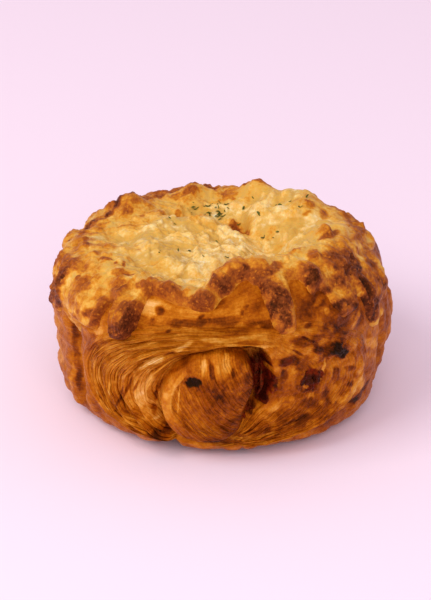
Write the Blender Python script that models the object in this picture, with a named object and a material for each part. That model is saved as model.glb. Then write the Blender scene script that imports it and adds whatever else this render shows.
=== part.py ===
"""Pizza croissant: a round bun of rolled croissant dough with tomato filling and a melted cheese top.

The dough is one roll that lies from front (-Y) to back (+Y) and was baked in a round mould, so both
cut ends of the roll show on the wall as an oval swirl of layers. The top is sunken and holds the
cheese, which runs over the rim in knobs and tongues. Sizes are in millimetres and angles in degrees,
and they become metres where a mesh is made.

A place on the bun is named by two numbers: its angle round the bun, 0 at the front and growing to
the right, and its climb, the distance along the surface up from the edge that the bun rests on.
"""

import math
from typing import NamedTuple

import bmesh
import bpy
import numpy as np

METRES = 0.001

# Driving sizes
WALL_RADIUS = 52.0
BUN_HEIGHT = 53.0
CONTACT_RADIUS = 38.0
BOWL_HEIGHT = 42.5
ARC_PER_DEGREE = WALL_RADIUS * math.pi / 180.0
# Keeps the box of the uneven bun centred over the origin
SIDE_SHIFT = -0.6

# The turned outline (radius, height) from the contact edge, over the rim, into the sunken top
PROFILE = np.array(
    [
        (CONTACT_RADIUS, 0.0),
        (WALL_RADIUS - 6.0, 3.8),
        (WALL_RADIUS - 2.4, 10.0),
        (WALL_RADIUS - 0.8, 19.0),
        (WALL_RADIUS, 28.0),
        (WALL_RADIUS - 0.2, 38.0),
        (WALL_RADIUS - 1.8, 45.0),
        (WALL_RADIUS - 5.8, 50.0),
        (WALL_RADIUS - 12.0, BUN_HEIGHT),
        (WALL_RADIUS - 18.5, BUN_HEIGHT - 1.0),
        (27.0, BOWL_HEIGHT + 6.0),
        (18.0, BOWL_HEIGHT + 2.5),
        (8.0, BOWL_HEIGHT + 0.4),
        (0.0, BOWL_HEIGHT),
    ]
)
CLIMBS = np.concatenate([[0.0], np.cumsum(np.linalg.norm(np.diff(PROFILE, axis=0), axis=1))])
TOP_CLIMB = CLIMBS[-1]
RIM_CLIMB = 66.0

# Cheese
CHEESE_IN_BOWL = 4.0
CHEESE_ON_RIM = 1.3
CHEESE_STEP = 1.0
CHEESE_DIP = 2.4
CHEESE_EDGE_WIDTH = 1.8
CHEESE_EDGE_CLIMB = 55.0
BARE_FRONT_CLIMB = 61.0
CHEESE_FLOAT = 0.35

# Roll ends: a swirl with an inner roll, a groove round it that opens into a crevice, and an outer turn
ROLL_CLIMB = 31.5
ROLL_OFFSET = -1.0
INNER_RADIUS = 15.8
INNER_SHIFT = 3.7
INNER_SHIFT_ANGLE = 201.0
INNER_OVAL = 2.5
INNER_OVAL_ANGLE = 61.0
OUTER_LEFT = 51.0
OUTER_RIGHT = 57.0
OUTER_UP = 21.5
OUTER_DOWN = 22.5
OUTER_SQUARENESS = 2.3
ROLL_RISE = 3.4
ROLL_EDGE_WIDTH = 2.6
LIP_PROUD = 2.4
FAN_RISE = 1.3
RIGHT_RIDGE = 1.6
SEAM_DROP = 2.8
SEAM_RECESS = 3.2
# Share of the seam's drop that is left out along the swirl's top, where the layers run into the wall
SEAM_SOFT_TOP = 0.9
SEAM_SOFT_WIDTH = 68.0
LAYER_FOLDS = 7
FOLD_HEIGHT = 0.8
FOLD_SPREAD = 1.2
DISC_BACK_DEPTH = 9.0
NOTCH_DEPTH = 3.6
NOTCH_SPOKE = 238.0
NOTCH_ANGLE = -19.0
CREVICE_WIDTH = 3.2
CREVICE_ANGLE = 12.0
# Depth of the groove along its way round the inner roll, by the angle of the spoke that it crosses
GROOVE = (
    (-62, 0.0),
    (-40, 2.6),
    (-12, 6.0),
    (42, 6.6),
    (64, 3.8),
    (90, 2.6),
    (135, 2.2),
    (180, 2.6),
    (214, 3.2),
    (236, 3.8),
    (254, 1.2),
    (270, 0.0),
)

# Tomato filling: a curved slab that runs from the front crevice to the back one
FILLING_THICKNESS = 2.6
FILLING_GAP = 0.3
FILLING_BOW = ((9.0, 17.5), (12.3, 21.5), (13.6, 26.5), (12.4, 32.0))
FILLING_HALF_LENGTH = 46.0

# Mesh steps
BODY_COLUMNS = 70
CHEESE_COLUMNS = 84
FRONT_CROWDING = 0.4
BODY_CLIMBS = (
    (0, 4, 8.5, 13, 18, 24, 30, 36, 41, 45, 48)
    + (51, 54, 57, 60, 63, 66, 70, 75, 81, 88, 97)
)
CHEESE_CLIMBS = (
    (38, 41, 43.5, 46, 48.2, 50.4, 52.6, 54.8, 57, 59.2)
    + (61.4, 63.6, 66, 68.6, 71.5, 75, 80, 86, 93, 100)
)
SPOKES_FRONT = 60
SPOKES_BACK = 30
ROLL_RINGS = 7

# Herb flakes on the cheese: one dense patch, and single ones (x, y)
HERB_PATCH = (-4.0, 28.0)
HERB_PATCH_SPREAD = (4.5, 3.2)
HERB_PATCH_COUNT = 10
HERB_SINGLES = (
    (-17, 23), (10, 34), (18, 28), (23, 29), (12, 23), (17, 15.5), (-5, 2), (2, 2), (-14, 8), (28, 20),
)
HERB_LENGTH = 2.4
HERB_WIDTH = 1.1
HERB_THICKNESS = 0.7
HERB_SEED = 11


class Swell(NamedTuple):
    """A soft change of the plain bun: where, how wide, and how far it goes outwards and upwards."""

    angle: float
    climb: float
    half_angle: float
    half_climb: float
    outwards: float
    upwards: float


class Knob(NamedTuple):
    """A rounded lump: angle and climb of its middle, half sizes along both, and its height."""

    angle: float
    climb: float
    half_width: float
    half_climb: float
    height: float


class Drip(NamedTuple):
    """A stretch of the cheese edge that reaches down to another climb."""

    angle: float
    half_angle: float
    climb: float


class Mound(NamedTuple):
    """A raised or sunken stretch of the cheese, as an oval seen from above."""

    x: float
    y: float
    half_x: float
    half_y: float
    height: float
    flat_share: float


SWELLS = (
    Swell(-86, 50, 34, 10, 1.0, 0.0),
    Swell(-90, 28, 30, 12, -1.8, 0.0),
    Swell(-80, 5, 30, 10, 2.8, 0.0),
    Swell(58, 6, 44, 12, 2.6, 0.0),
    Swell(94, 34, 26, 16, 1.4, 0.0),
    Swell(-20, 4, 30, 8, 1.0, 0.0),
    Swell(178, 68, 18, 14, 0.0, -2.8),
    Swell(-108, 66, 22, 14, 0.0, -4.0),
    Swell(-151, 67, 12, 12, 0.0, -1.8),
    Swell(148, 67, 16, 12, 0.0, -2.2),
    Swell(100, 63, 20, 12, 0.0, -1.4),
    Swell(180, 66, 80, 14, 0.0, -1.2),
    Swell(-112, 54, 12, 8, -1.0, -0.8),
    Swell(-94, 58, 10, 6, 0.0, 0.9),
    Swell(88, 42, 20, 6, -1.8, 0.0),
    Swell(103, 56, 14, 8, 0.6, 0.0),
)
CHEESE_KNOBS = (
    Knob(-33.5, 49.0, 5.2, 4.6, 3.8),
    Knob(-34, 55.5, 5.4, 4.0, 2.8),
    Knob(-53, 50.0, 9.0, 6.0, 2.4),
    Knob(-71, 57.0, 7.0, 4.0, 2.0),
    Knob(-78.5, 45.0, 3.0, 4.2, 1.0),
    Knob(-69.5, 48.5, 3.0, 4.0, 1.4),
    Knob(-42, 61.5, 3.2, 2.0, 1.4),
    Knob(-30.5, 62.5, 5.4, 2.4, 2.2),
    Knob(-21.5, 63.0, 4.6, 2.4, 2.2),
    Knob(-6.5, 61.0, 3.8, 3.4, 3.6),
    Knob(-0.5, 65.5, 4.4, 3.2, 3.6),
    Knob(8, 66.5, 5.0, 2.6, 2.8),
    Knob(19, 65.5, 5.4, 2.6, 2.0),
    Knob(22.5, 55.0, 4.4, 6.5, 1.4),
    Knob(40, 59.5, 3.6, 3.6, 2.0),
    Knob(59, 60.0, 12.0, 5.0, 1.6),
    Knob(70, 45.0, 10.0, 8.0, 0.9),
    Knob(72, 67.0, 4.2, 2.0, 1.8),
    Knob(96, 70.0, 3.4, 2.6, 2.6),
    Knob(161.5, 66.0, 5.4, 4.0, 5.6),
    Knob(-167, 65.0, 6.0, 4.0, 2.6),
    Knob(-134, 64.0, 5.0, 3.5, 2.0),
)
CHEESE_DRIPS = (
    Drip(-76, 9.0, 41.5),
    Drip(-60, 8.0, 40.0),
    Drip(-49, 6.0, 45.5),
    Drip(-34, 4.2, 45.5),
    Drip(-6, 5.0, 59.0),
    Drip(9.5, 4.0, 63.5),
    Drip(22.5, 5.2, 48.5),
    Drip(40.5, 4.0, 57.3),
    Drip(50, 7.0, 48.8),
    Drip(70, 12.0, 39.0),
)
CHEESE_MOUNDS = (
    Mound(-9, 0, 21, 24, 6.0, 0.72),
    Mound(20, 20, 14, 17, 5.0, 0.5),
    Mound(6, 17, 3.4, 8, -2.4, 0.1),
)
SIDE_SEED = 5
SIDE_DRIPS = 7


def ease(low, high, value):
    """0 below low, 1 above high, and an S curve in between."""
    share = np.clip((value - low) / (high - low), 0.0, 1.0)
    return share * share * (3.0 - 2.0 * share)


def bell(distance, half_width):
    """A smooth bump of height 1 at distance 0."""
    return np.exp(-((distance / half_width) ** 2))


def turn(angle, centre):
    """The signed angle from centre to angle, in -180 to 180."""
    return (angle - centre + 180.0) % 360.0 - 180.0


def profile_at(climb):
    """Radius and height of the turned outline at each climb, on a smooth curve through PROFILE."""
    slopes = np.gradient(PROFILE, CLIMBS, axis=0)
    span = np.clip(np.searchsorted(CLIMBS, climb) - 1, 0, len(CLIMBS) - 2)
    step = (CLIMBS[span + 1] - CLIMBS[span])[..., None]
    share = (climb - CLIMBS[span])[..., None] / step
    cube, square = share**3, share**2
    point = (2 * cube - 3 * square + 1) * PROFILE[span]
    point = point + (cube - 2 * square + share) * step * slopes[span]
    point = point + (3 * square - 2 * cube) * PROFILE[span + 1]
    return point + (cube - square) * step * slopes[span + 1]


def base_point(angle, climb):
    """The plain bun: the turned outline, with its swells, and the rim pulled in at the right front."""
    angle, climb = np.broadcast_arrays(np.asarray(angle, float), np.asarray(climb, float))
    outline = profile_at(climb)
    radius, height = outline[..., 0], outline[..., 1]
    right_front = ease(-8, 18, turn(angle, 0)) * (1 - ease(80, 108, turn(angle, 0)))
    height = height + 5.5 * right_front * bell(climb - 68, 11)
    radius = radius - 5.0 * right_front * ease(48, 70, climb) * (1 - ease(74, 92, climb))
    for swell in SWELLS:
        share = bell(turn(angle, swell.angle), swell.half_angle)
        share = share * bell(climb - swell.climb, swell.half_climb)
        radius = radius + swell.outwards * share * (radius > 0)
        height = height + swell.upwards * share
    around = np.radians(angle)
    return np.stack([radius * np.sin(around) + SIDE_SHIFT, -radius * np.cos(around), height], axis=-1)


def base_normal(angle, climb):
    """The outward unit normal of the plain bun."""
    small = 0.05
    across = base_point(angle + small, climb) - base_point(angle - small, climb)
    along = base_point(angle, climb + small) - base_point(angle, climb - small)
    normal = np.cross(across, along)
    length = np.linalg.norm(normal, axis=-1, keepdims=True)
    return normal / np.maximum(length, 1e-9)


def lump(knob, angle, climb):
    """Height of one knob: a dome with a soft foot."""
    across = turn(angle, knob.angle) * ARC_PER_DEGREE / knob.half_width
    along = (climb - knob.climb) / knob.half_climb
    return knob.height * np.exp(-((across**2 + along**2) ** 1.4))


def outer_reach(spoke):
    """Radius of the swirl's outer edge along a spoke: a soft-cornered oval."""
    wide = np.where(np.cos(spoke) > 0, OUTER_RIGHT, OUTER_LEFT)
    tall = np.where(np.sin(spoke) > 0, OUTER_UP, OUTER_DOWN)
    power = OUTER_SQUARENESS
    edge = (np.abs(np.cos(spoke)) / wide) ** power + (np.abs(np.sin(spoke)) / tall) ** power
    return edge ** (-1 / power)


def inner_reach(spoke):
    """Radius of the inner roll along a spoke: a slanted oval that reaches furthest at the lower left."""
    shifted = INNER_SHIFT * np.cos(spoke - math.radians(INNER_SHIFT_ANGLE))
    oval = INNER_OVAL * np.cos(2 * (spoke - math.radians(INNER_OVAL_ANGLE)))
    return INNER_RADIUS + shifted + oval


def swirl_place(angle, climb, end_angle):
    """Distance from the roll's middle, its spoke, and the share of the way to the swirl's outer edge."""
    hand = 1.0 if end_angle == 0 else -1.0
    across = hand * turn(angle, end_angle) * ARC_PER_DEGREE - ROLL_OFFSET
    up = climb - ROLL_CLIMB
    reach = np.hypot(across, up)
    spoke = np.arctan2(up, across)
    return reach, spoke, reach / outer_reach(spoke)


def swirl_relief(reach, spoke):
    """Height of the swirl over the plain bun: the inner roll, the groove, and the layered outer turn."""
    inner, outer = inner_reach(spoke), outer_reach(spoke)
    degrees = np.degrees(spoke)
    depth = np.interp(degrees, *np.transpose(GROOVE), period=360)
    crevice = bell(turn(degrees, CREVICE_ANGLE), 40)
    top = bell(turn(degrees, 72), 40)
    fan = bell(turn(degrees, 178), 58)
    lower = bell(turn(degrees, 290), 50)
    right = bell(turn(degrees, 4), 34)
    inside = np.clip(reach / inner, 0, 1)
    beyond = np.clip(reach - inner, 0, None)
    share = np.clip(beyond / (outer - inner), 0, 1)
    floor = 0.5 + CREVICE_WIDTH * crevice
    inner_valley = 1 - ease(0, ROLL_EDGE_WIDTH, inner - reach)
    outer_valley = 1 - ease(floor, floor + 0.9 + 1.8 * (1 - top), beyond)
    valley = np.where(reach < inner, inner_valley, outer_valley)
    level = LIP_PROUD * top * (1 - ease(0.1, 0.9, share)) + FAN_RISE * fan * np.sin(math.pi * share)
    level = level + RIGHT_RIDGE * right * bell(share - 0.82, 0.13)
    folds = np.cos(2 * math.pi * LAYER_FOLDS * share ** (1 / FOLD_SPREAD))
    level = (level + FOLD_HEIGHT * folds * (fan + 0.6 * lower)) * (1 - valley)
    level = np.where(reach < inner, ROLL_RISE * (1 - inside**2), level)
    notch = NOTCH_DEPTH * bell(turn(degrees, NOTCH_SPOKE), 7) * ease(0.0, 0.5, share)
    drop = SEAM_DROP * (1 - SEAM_SOFT_TOP * bell(turn(degrees, 92), SEAM_SOFT_WIDTH))
    return level - depth * valley - notch - drop * ease(0.92, 1.0, reach / outer) + 0.4 * share


def wall_relief(angle, climb):
    """Height of the dough over the plain bun: a bed for each swirl, side lobes, pleats and waves."""
    bed = np.zeros_like(climb)
    for end_angle in (0, 180):
        _, _, share = swirl_place(angle, climb, end_angle)
        bed = np.maximum(bed, SEAM_RECESS * (1 - ease(0.8, 0.93, share)))
    on_wall = ease(8, 18, climb) * (1 - ease(40, 48, climb))
    grooves = 4.2 * bell(turn(angle, -60.5), 3.6) + 3.0 * bell(turn(angle, 76), 4.0)
    grooves = grooves + 3.4 * bell(turn(angle, -106 + 0.2 * climb), 4.5)
    grooves = grooves + 3.0 * bell(turn(angle, 112 - 0.15 * climb), 4.5)
    side_lobes = 1.6 * bell(turn(angle, -80), 14) + 1.2 * bell(turn(angle, 97), 14)
    pleats = 0.5 * np.cos(climb * 0.9 + 0.05 * angle) * bell(turn(angle, -76), 12)
    waves = 0.5 * np.cos(np.radians(5 * angle + 40) + climb * 0.06)
    notch = NOTCH_DEPTH * bell(turn(angle, NOTCH_ANGLE), 3) * (1 - ease(8, 14, climb))
    return (side_lobes - grooves + pleats) * on_wall + waves * ease(20, 40, climb) - bed - notch


def side_drips():
    """Cheese tongues on the sides and back, spread by a seeded draw."""
    draw = np.random.default_rng(SIDE_SEED)
    made = []
    for place in range(SIDE_DRIPS):
        angle = 112 + 148 * (place + 0.5) / SIDE_DRIPS + draw.uniform(-6, 6)
        made.append(Drip(angle, draw.uniform(5, 9), draw.uniform(44, 52)))
    return tuple(made)


def cheese_edge(angle):
    """The climb where the cheese ends, at each angle."""
    bare = ease(-31, -28, turn(angle, 0)) * (1 - ease(34, 39, turn(angle, 0)))
    edge = CHEESE_EDGE_CLIMB + (BARE_FRONT_CLIMB - CHEESE_EDGE_CLIMB) * bare
    edge = edge + 1.0 * np.sin(np.radians(7 * angle)) + 0.6 * np.sin(np.radians(13 * angle + 50))
    for drip in CHEESE_DRIPS + side_drips():
        within = np.abs(turn(angle, drip.angle)) / drip.half_angle
        edge = edge + (drip.climb - edge) * (1 - ease(0.4, 1.3, within))
    return edge


def cheese_inset(angle, climb):
    """Distance inwards from the cheese's edge, negative outside it."""
    slope = (cheese_edge(angle + 0.5) - cheese_edge(angle - 0.5)) / ARC_PER_DEGREE
    return (climb - cheese_edge(angle)) / np.hypot(1.0, slope)


def cheese_relief(angle, climb):
    """Height of the cheese top over the plain bun: knobs on the rim, and mounds in the bowl."""
    total = np.zeros_like(climb)
    for knob in CHEESE_KNOBS:
        total = total + lump(knob, angle, climb)
    for drip in side_drips():
        total = total + lump(Knob(drip.angle, drip.climb + 3, 4.5, 3.5, 1.0), angle, climb)
    place = base_point(angle, climb)
    for mound in CHEESE_MOUNDS:
        beside = (place[..., 0] - mound.x) / mound.half_x
        behind = (place[..., 1] - mound.y) / mound.half_y
        out = np.hypot(beside, behind)
        total = total + mound.height * (1 - ease(mound.flat_share, 1.1, out))
    return total


def cheese_lift(inset):
    """Height of the cheese over the dough near its edge: it dips into the dough outside the edge."""
    rise = ease(-CHEESE_EDGE_WIDTH, CHEESE_EDGE_WIDTH, inset + 0.7)
    return -CHEESE_DIP + (CHEESE_DIP + CHEESE_STEP) * rise


def cheese_thickness(angle, climb):
    """How far the dough lies under the cheese top."""
    covered = ease(0.3, 4.0, cheese_inset(angle, climb))
    in_bowl = ease(RIM_CLIMB, RIM_CLIMB + 14, climb)
    return covered * (CHEESE_ON_RIM + (CHEESE_IN_BOWL - CHEESE_ON_RIM) * in_bowl)


def dough_point(angle, climb, grow=0.0):
    """A point on the dough's wall, rim or bowl, moved outwards by grow."""
    in_bowl = ease(RIM_CLIMB - 4, RIM_CLIMB + 8, climb)
    height = wall_relief(angle, climb) + cheese_relief(angle, climb) * in_bowl
    height = height - cheese_thickness(angle, climb) + grow
    return base_point(angle, climb) + base_normal(angle, climb) * height[..., None]


def columns(count):
    """Angles of the mesh columns, closer together at the front."""
    even = np.linspace(0, 2 * math.pi, count, endpoint=False)
    return np.degrees(even - FRONT_CROWDING * np.sin(even))


def closed_mesh(name, rings, first_pole, last_pole):
    """A closed mesh from rings of points, with a pole point at each end, as an object in metres."""
    mesh = bpy.data.meshes.new(name)
    shape = bmesh.new()
    rows = [[shape.verts.new(point * METRES) for point in ring] for ring in rings]
    poles = [shape.verts.new(np.asarray(point) * METRES) for point in (first_pole, last_pole)]
    count = len(rows[0])
    for place in range(count):
        after = (place + 1) % count
        shape.faces.new((poles[0], rows[0][after], rows[0][place]))
        shape.faces.new((poles[1], rows[-1][place], rows[-1][after]))
        for lower, upper in zip(rows, rows[1:]):
            shape.faces.new((lower[place], lower[after], upper[after], upper[place]))
    bmesh.ops.triangulate(shape, faces=[face for face in shape.faces if len(face.verts) > 3])
    bmesh.ops.recalc_face_normals(shape, faces=shape.faces)
    shape.to_mesh(mesh)
    shape.free()
    made = bpy.data.objects.new(name, mesh)
    bpy.context.scene.collection.objects.link(made)
    return made


def make_body(name, grow=0.0):
    """The bun's dough without its swirls: flat base, wall, rim and bowl."""
    angles = columns(BODY_COLUMNS)
    rings = []
    for climb in BODY_CLIMBS:
        ring = dough_point(angles, np.full_like(angles, climb), grow)
        ring[:, 2] = np.maximum(ring[:, 2], -grow)
        rings.append(ring)
    rings[0][:, 2] = -grow
    rings.insert(0, rings[0] * (0.5, 0.5, 1.0))
    top = dough_point(np.zeros(1), np.full(1, TOP_CLIMB - 0.5), grow)[0]
    return closed_mesh(name, rings, (0.0, 0.0, -grow), (0.0, 0.0, top[2]))


def make_swirl(name, end_angle, spokes, grow=0.0):
    """One cut end of the roll, as a thick curved disc whose back is buried in the body."""
    hand = 1.0 if end_angle == 0 else -1.0
    spoke = np.linspace(0, 2 * math.pi, spokes, endpoint=False) * hand
    outer, inner = outer_reach(spoke) + grow, inner_reach(spoke)

    def place(reach, height):
        angle = end_angle + hand * (ROLL_OFFSET + reach * np.cos(spoke)) / ARC_PER_DEGREE
        climb = ROLL_CLIMB + reach * np.sin(spoke)
        point = base_point(angle, climb) + base_normal(angle, climb) * np.asarray(height)[..., None]
        point[:, 2] = np.maximum(point[:, 2], 0.2 - grow)
        return point

    rings = [place(outer * 0.5, np.full(spokes, -DISC_BACK_DEPTH))]
    rings.append(place(outer * 0.97, np.full(spokes, -DISC_BACK_DEPTH + 2)))
    for step in np.linspace(1.0, 0.0, 3 * LAYER_FOLDS + 1):
        reach = inner + (outer - inner) * step**FOLD_SPREAD + 0.02
        rings.append(place(reach, swirl_relief(reach, spoke) + grow))
    for share in np.linspace(0.95, 0.2, ROLL_RINGS):
        reach = inner * share
        rings.append(place(reach, swirl_relief(reach, spoke) + grow))
    centre = np.zeros(spokes)
    back_pole = place(centre, np.full(spokes, -DISC_BACK_DEPTH - 1))[0]
    front_pole = place(centre, swirl_relief(centre, spoke) + grow)[0]
    return closed_mesh(name, rings, back_pole, front_pole)


def combine(target, tools, operation):
    """Joins or cuts target with the tools by one Boolean, applies it, and removes the tools."""
    group = bpy.data.collections.new("tools_of_" + target.name)
    bpy.context.scene.collection.children.link(group)
    for tool in tools:
        for holder in tool.users_collection:
            holder.objects.unlink(tool)
        group.objects.link(tool)
    bpy.context.view_layer.update()
    modifier = target.modifiers.new("combine", "BOOLEAN")
    modifier.operation = operation
    modifier.operand_type = "COLLECTION"
    modifier.collection = group
    modifier.solver = "EXACT"
    graph = bpy.context.evaluated_depsgraph_get()
    result = bpy.data.meshes.new_from_object(target.evaluated_get(graph))
    target.modifiers.clear()
    target.data = result
    for tool in tools:
        bpy.data.objects.remove(tool)
    bpy.data.collections.remove(group)
    return target


def keep_largest(target):
    """Drops loose scraps, so that the object is one body."""
    shape = bmesh.new()
    shape.from_mesh(target.data)
    left = set(shape.verts)
    bodies = []
    while left:
        found, edge = set(), [left.pop()]
        while edge:
            vertex = edge.pop()
            found.add(vertex)
            near = {link.other_vert(vertex) for link in vertex.link_edges} & left
            left -= near
            edge.extend(near)
        bodies.append(found)
    bodies.sort(key=len)
    for scrap in bodies[:-1]:
        bmesh.ops.delete(shape, geom=list(scrap), context="VERTS")
    shape.to_mesh(target.data)
    shape.free()
    return target


def make_filling(name, gap):
    """The tomato layer: a bowed slab along Y, thicker by gap on every side."""
    bow = np.array(FILLING_BOW) + (SIDE_SHIFT, 0.0)
    along = np.gradient(bow, axis=0)
    along = along / np.linalg.norm(along, axis=1, keepdims=True)
    across = np.stack([-along[:, 1], along[:, 0]], axis=1)
    taper = np.array([0.6, 1.0, 1.0, 0.6])[:, None]
    half = across * (FILLING_THICKNESS / 2 * taper + gap)
    bow = bow + along * np.array([-gap, 0, 0, gap])[:, None]
    outline = np.concatenate([bow - half, (bow + half)[::-1]])
    length = FILLING_HALF_LENGTH + (gap * 20 if gap else 0)
    shape = bmesh.new()
    ends = []
    for y in (-length, length):
        ends.append([shape.verts.new((x * METRES, y * METRES, z * METRES)) for x, z in outline])
    count = len(outline)
    shape.faces.new(ends[0])
    shape.faces.new(ends[1][::-1])
    for place in range(count):
        after = (place + 1) % count
        shape.faces.new((ends[0][place], ends[1][place], ends[1][after], ends[0][after]))
    bmesh.ops.recalc_face_normals(shape, faces=shape.faces)
    mesh = bpy.data.meshes.new(name)
    shape.to_mesh(mesh)
    shape.free()
    made = bpy.data.objects.new(name, mesh)
    bpy.context.scene.collection.objects.link(made)
    return made


def make_dough(name, grow=0.0):
    """The whole dough: body and both swirls joined, with the slot for the filling."""
    dough = make_body(name, grow)
    swirls = [
        make_swirl(name + "_front", 0, SPOKES_FRONT, grow),
        make_swirl(name + "_back", 180, SPOKES_BACK, grow),
    ]
    combine(dough, swirls, "UNION")
    if grow == 0.0:
        combine(dough, [make_filling(name + "_slot", FILLING_GAP)], "DIFFERENCE")
    return keep_largest(dough)


def make_cheese(name, floor):
    """The melted cheese: a thick lid over bowl and rim, cut away where the dough is."""
    angles = columns(CHEESE_COLUMNS)
    rings = []
    for climb in np.array(CHEESE_CLIMBS)[:, None] + np.zeros_like(angles):
        inset = cheese_inset(angles, climb)
        height = wall_relief(angles, climb) + cheese_lift(inset)
        height = height + cheese_relief(angles, climb) * ease(-2.5, 0.5, inset)
        rings.append(base_point(angles, climb) + base_normal(angles, climb) * height[:, None])
    top = rings[-1][:, 2].mean()
    root = base_point(angles, climb * 0 + CHEESE_CLIMBS[0]) * (0.8, 0.8, 1.0)
    cheese = closed_mesh(name, [root] + rings, (0.0, 0.0, BOWL_HEIGHT - 12.0), (0.0, 0.0, top))
    combine(cheese, [floor], "DIFFERENCE")
    return keep_largest(cheese)


def make_herbs(cheese):
    """Small leaf flakes pressed into the cheese, where HERB_PATCH and HERB_SINGLES put them."""
    draw = np.random.default_rng(HERB_SEED)
    places = list(draw.normal(HERB_PATCH, HERB_PATCH_SPREAD, (HERB_PATCH_COUNT, 2)))
    flakes = []
    for count, (x, y) in enumerate(places + list(HERB_SINGLES)):
        start = (x * METRES, y * METRES, 2 * BUN_HEIGHT * METRES)
        hit, point, _, _ = cheese.ray_cast(start, (0, 0, -1))
        if not hit:
            continue
        bpy.ops.mesh.primitive_cone_add(
            vertices=4,
            radius1=HERB_LENGTH / 2 * METRES,
            radius2=HERB_WIDTH / 2 * METRES,
            depth=HERB_THICKNESS * METRES,
            location=point,
            rotation=(0.12 * draw.normal(), 0.12 * draw.normal(), draw.uniform(0, math.pi)),
        )
        flake = bpy.context.object
        flake.name = f"herb_{count}"
        flake.scale = (1.0, HERB_WIDTH / HERB_LENGTH, 1.0)
        flakes.append(flake)
    return flakes


def finish(target, name, colour, roughness):
    """Names the object, shades it smooth and gives it a plain food material."""
    target.name = name
    target.data.name = name
    material = bpy.data.materials.new(name)
    material.use_nodes = True
    surface = material.node_tree.nodes["Principled BSDF"]
    surface.inputs["Base Color"].default_value = (*colour, 1.0)
    surface.inputs["Roughness"].default_value = roughness
    surface.inputs["Metallic"].default_value = 0.0
    target.data.materials.clear()
    target.data.materials.append(material)
    target.data.shade_smooth()
    target.data.set_sharp_from_angle(angle=math.radians(50))


def main():
    """Builds the dough, the cheese and the filling."""
    for old in list(bpy.data.objects):
        bpy.data.objects.remove(old)
    dough = make_dough("pastry")
    cheese = make_cheese("cheese", make_dough("floor", CHEESE_FLOAT))
    combine(cheese, make_herbs(cheese), "UNION")
    filling = make_filling("tomato_filling", 0.0)
    finish(dough, "pastry", (0.47, 0.19, 0.04), 0.5)
    finish(keep_largest(cheese), "cheese", (0.80, 0.52, 0.16), 0.45)
    finish(filling, "tomato_filling", (0.22, 0.02, 0.01), 0.3)


main()
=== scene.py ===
"""Pizza croissant, dressed for looks: layered dough, melted and browned cheese, tomato and herbs.

Every surface is a height over one plain bun shape. A place on the bun is named by its angle round
the bun (degrees, 0 at the front, growing to the right) and its climb (mm along the surface, up from
the edge that the bun rests on). Sizes are in millimetres and become metres where a mesh is made.
"""

import logging
import math
from dataclasses import dataclass
from enum import Enum
from functools import partial
from typing import Callable, NamedTuple

import bpy
import numpy as np
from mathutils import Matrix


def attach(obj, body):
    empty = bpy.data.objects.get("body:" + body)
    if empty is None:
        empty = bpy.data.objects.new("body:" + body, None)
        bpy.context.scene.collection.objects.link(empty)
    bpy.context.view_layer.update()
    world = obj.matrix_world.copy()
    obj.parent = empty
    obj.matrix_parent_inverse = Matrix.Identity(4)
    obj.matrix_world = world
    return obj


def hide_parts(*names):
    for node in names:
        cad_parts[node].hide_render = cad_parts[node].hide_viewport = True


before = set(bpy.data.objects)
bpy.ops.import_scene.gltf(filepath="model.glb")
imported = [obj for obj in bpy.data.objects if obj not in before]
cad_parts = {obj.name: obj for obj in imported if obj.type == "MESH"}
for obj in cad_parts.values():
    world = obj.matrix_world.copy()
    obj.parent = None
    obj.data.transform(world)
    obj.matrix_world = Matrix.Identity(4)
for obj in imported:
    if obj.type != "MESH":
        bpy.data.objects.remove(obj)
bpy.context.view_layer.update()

LOG = logging.getLogger("pizza_croissant")
METRES = 0.001
ROOT_BODY = "root"

Floats = np.ndarray
Socket = bpy.types.NodeSocket
Tree = bpy.types.NodeTree
Material = bpy.types.Material
Piece = bpy.types.Object
Wrap = Callable[[Floats, Floats], tuple[Floats, dict[str, Floats]]]


def ease(low: float, high: float, value: Floats) -> Floats:
    """Returns 0 below low, 1 above high, and an S curve in between.

    Args:
        low: Where the rise starts.
        high: Where the rise ends.
        value: The values to ease.

    Returns:
        The eased share of each value.
    """
    share = np.clip((value - low) / (high - low), 0.0, 1.0)
    return share * share * (3.0 - 2.0 * share)


def bell(distance: Floats, half_width: float) -> Floats:
    """Returns a smooth bump of height 1 at distance 0."""
    return np.exp(-((distance / half_width) ** 2))


def turn(angle: Floats, centre: float) -> Floats:
    """Returns the signed angle from centre to angle, in -180 to 180."""
    return (angle - centre + 180.0) % 360.0 - 180.0


def hump(angle: Floats, centre: float, half_width: float) -> Floats:
    """Returns a smooth bump of height 1 round an angle, all in degrees."""
    return bell(turn(angle, centre), half_width)


def plateau(value: Floats, rise: tuple[float, float], fall: tuple[float, float]) -> Floats:
    """Returns 1 between a rise and a fall, each given by its two ends, and 0 outside them."""
    return ease(*rise, value) * (1 - ease(*fall, value))


def lattice_noise(points: Floats, cell: float, seed: int) -> Floats:
    """Returns smooth noise between -1 and 1.

    Args:
        points: Places in mm, one row each.
        cell: Size of a noise cell in mm.
        seed: Chooses the pattern.

    Returns:
        One value for each point.
    """
    scaled = points / cell + 37.7 * seed
    corner = np.floor(scaled).astype(np.int64)
    part = scaled - corner
    part = part * part * part * (part * (part * 6 - 15) + 10)
    total = np.zeros(len(points))
    for offset in np.ndindex(2, 2, 2):
        # A hash of the corner's place gives each corner a value of its own
        place = corner + offset
        mixed = place[:, 0] * 73856093 ^ place[:, 1] * 19349663 ^ place[:, 2] * 83492791 ^ seed * 7919
        mixed = (mixed ^ (mixed >> 13)) * 1274126177 & 0xFFFFFFFF
        mixed = (mixed ^ (mixed >> 16)) & 0xFFFF
        weight = np.prod(np.where(np.array(offset) == 1, part, 1 - part), axis=1)
        total += weight * (mixed / 32767.5 - 1)
    return total


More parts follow.
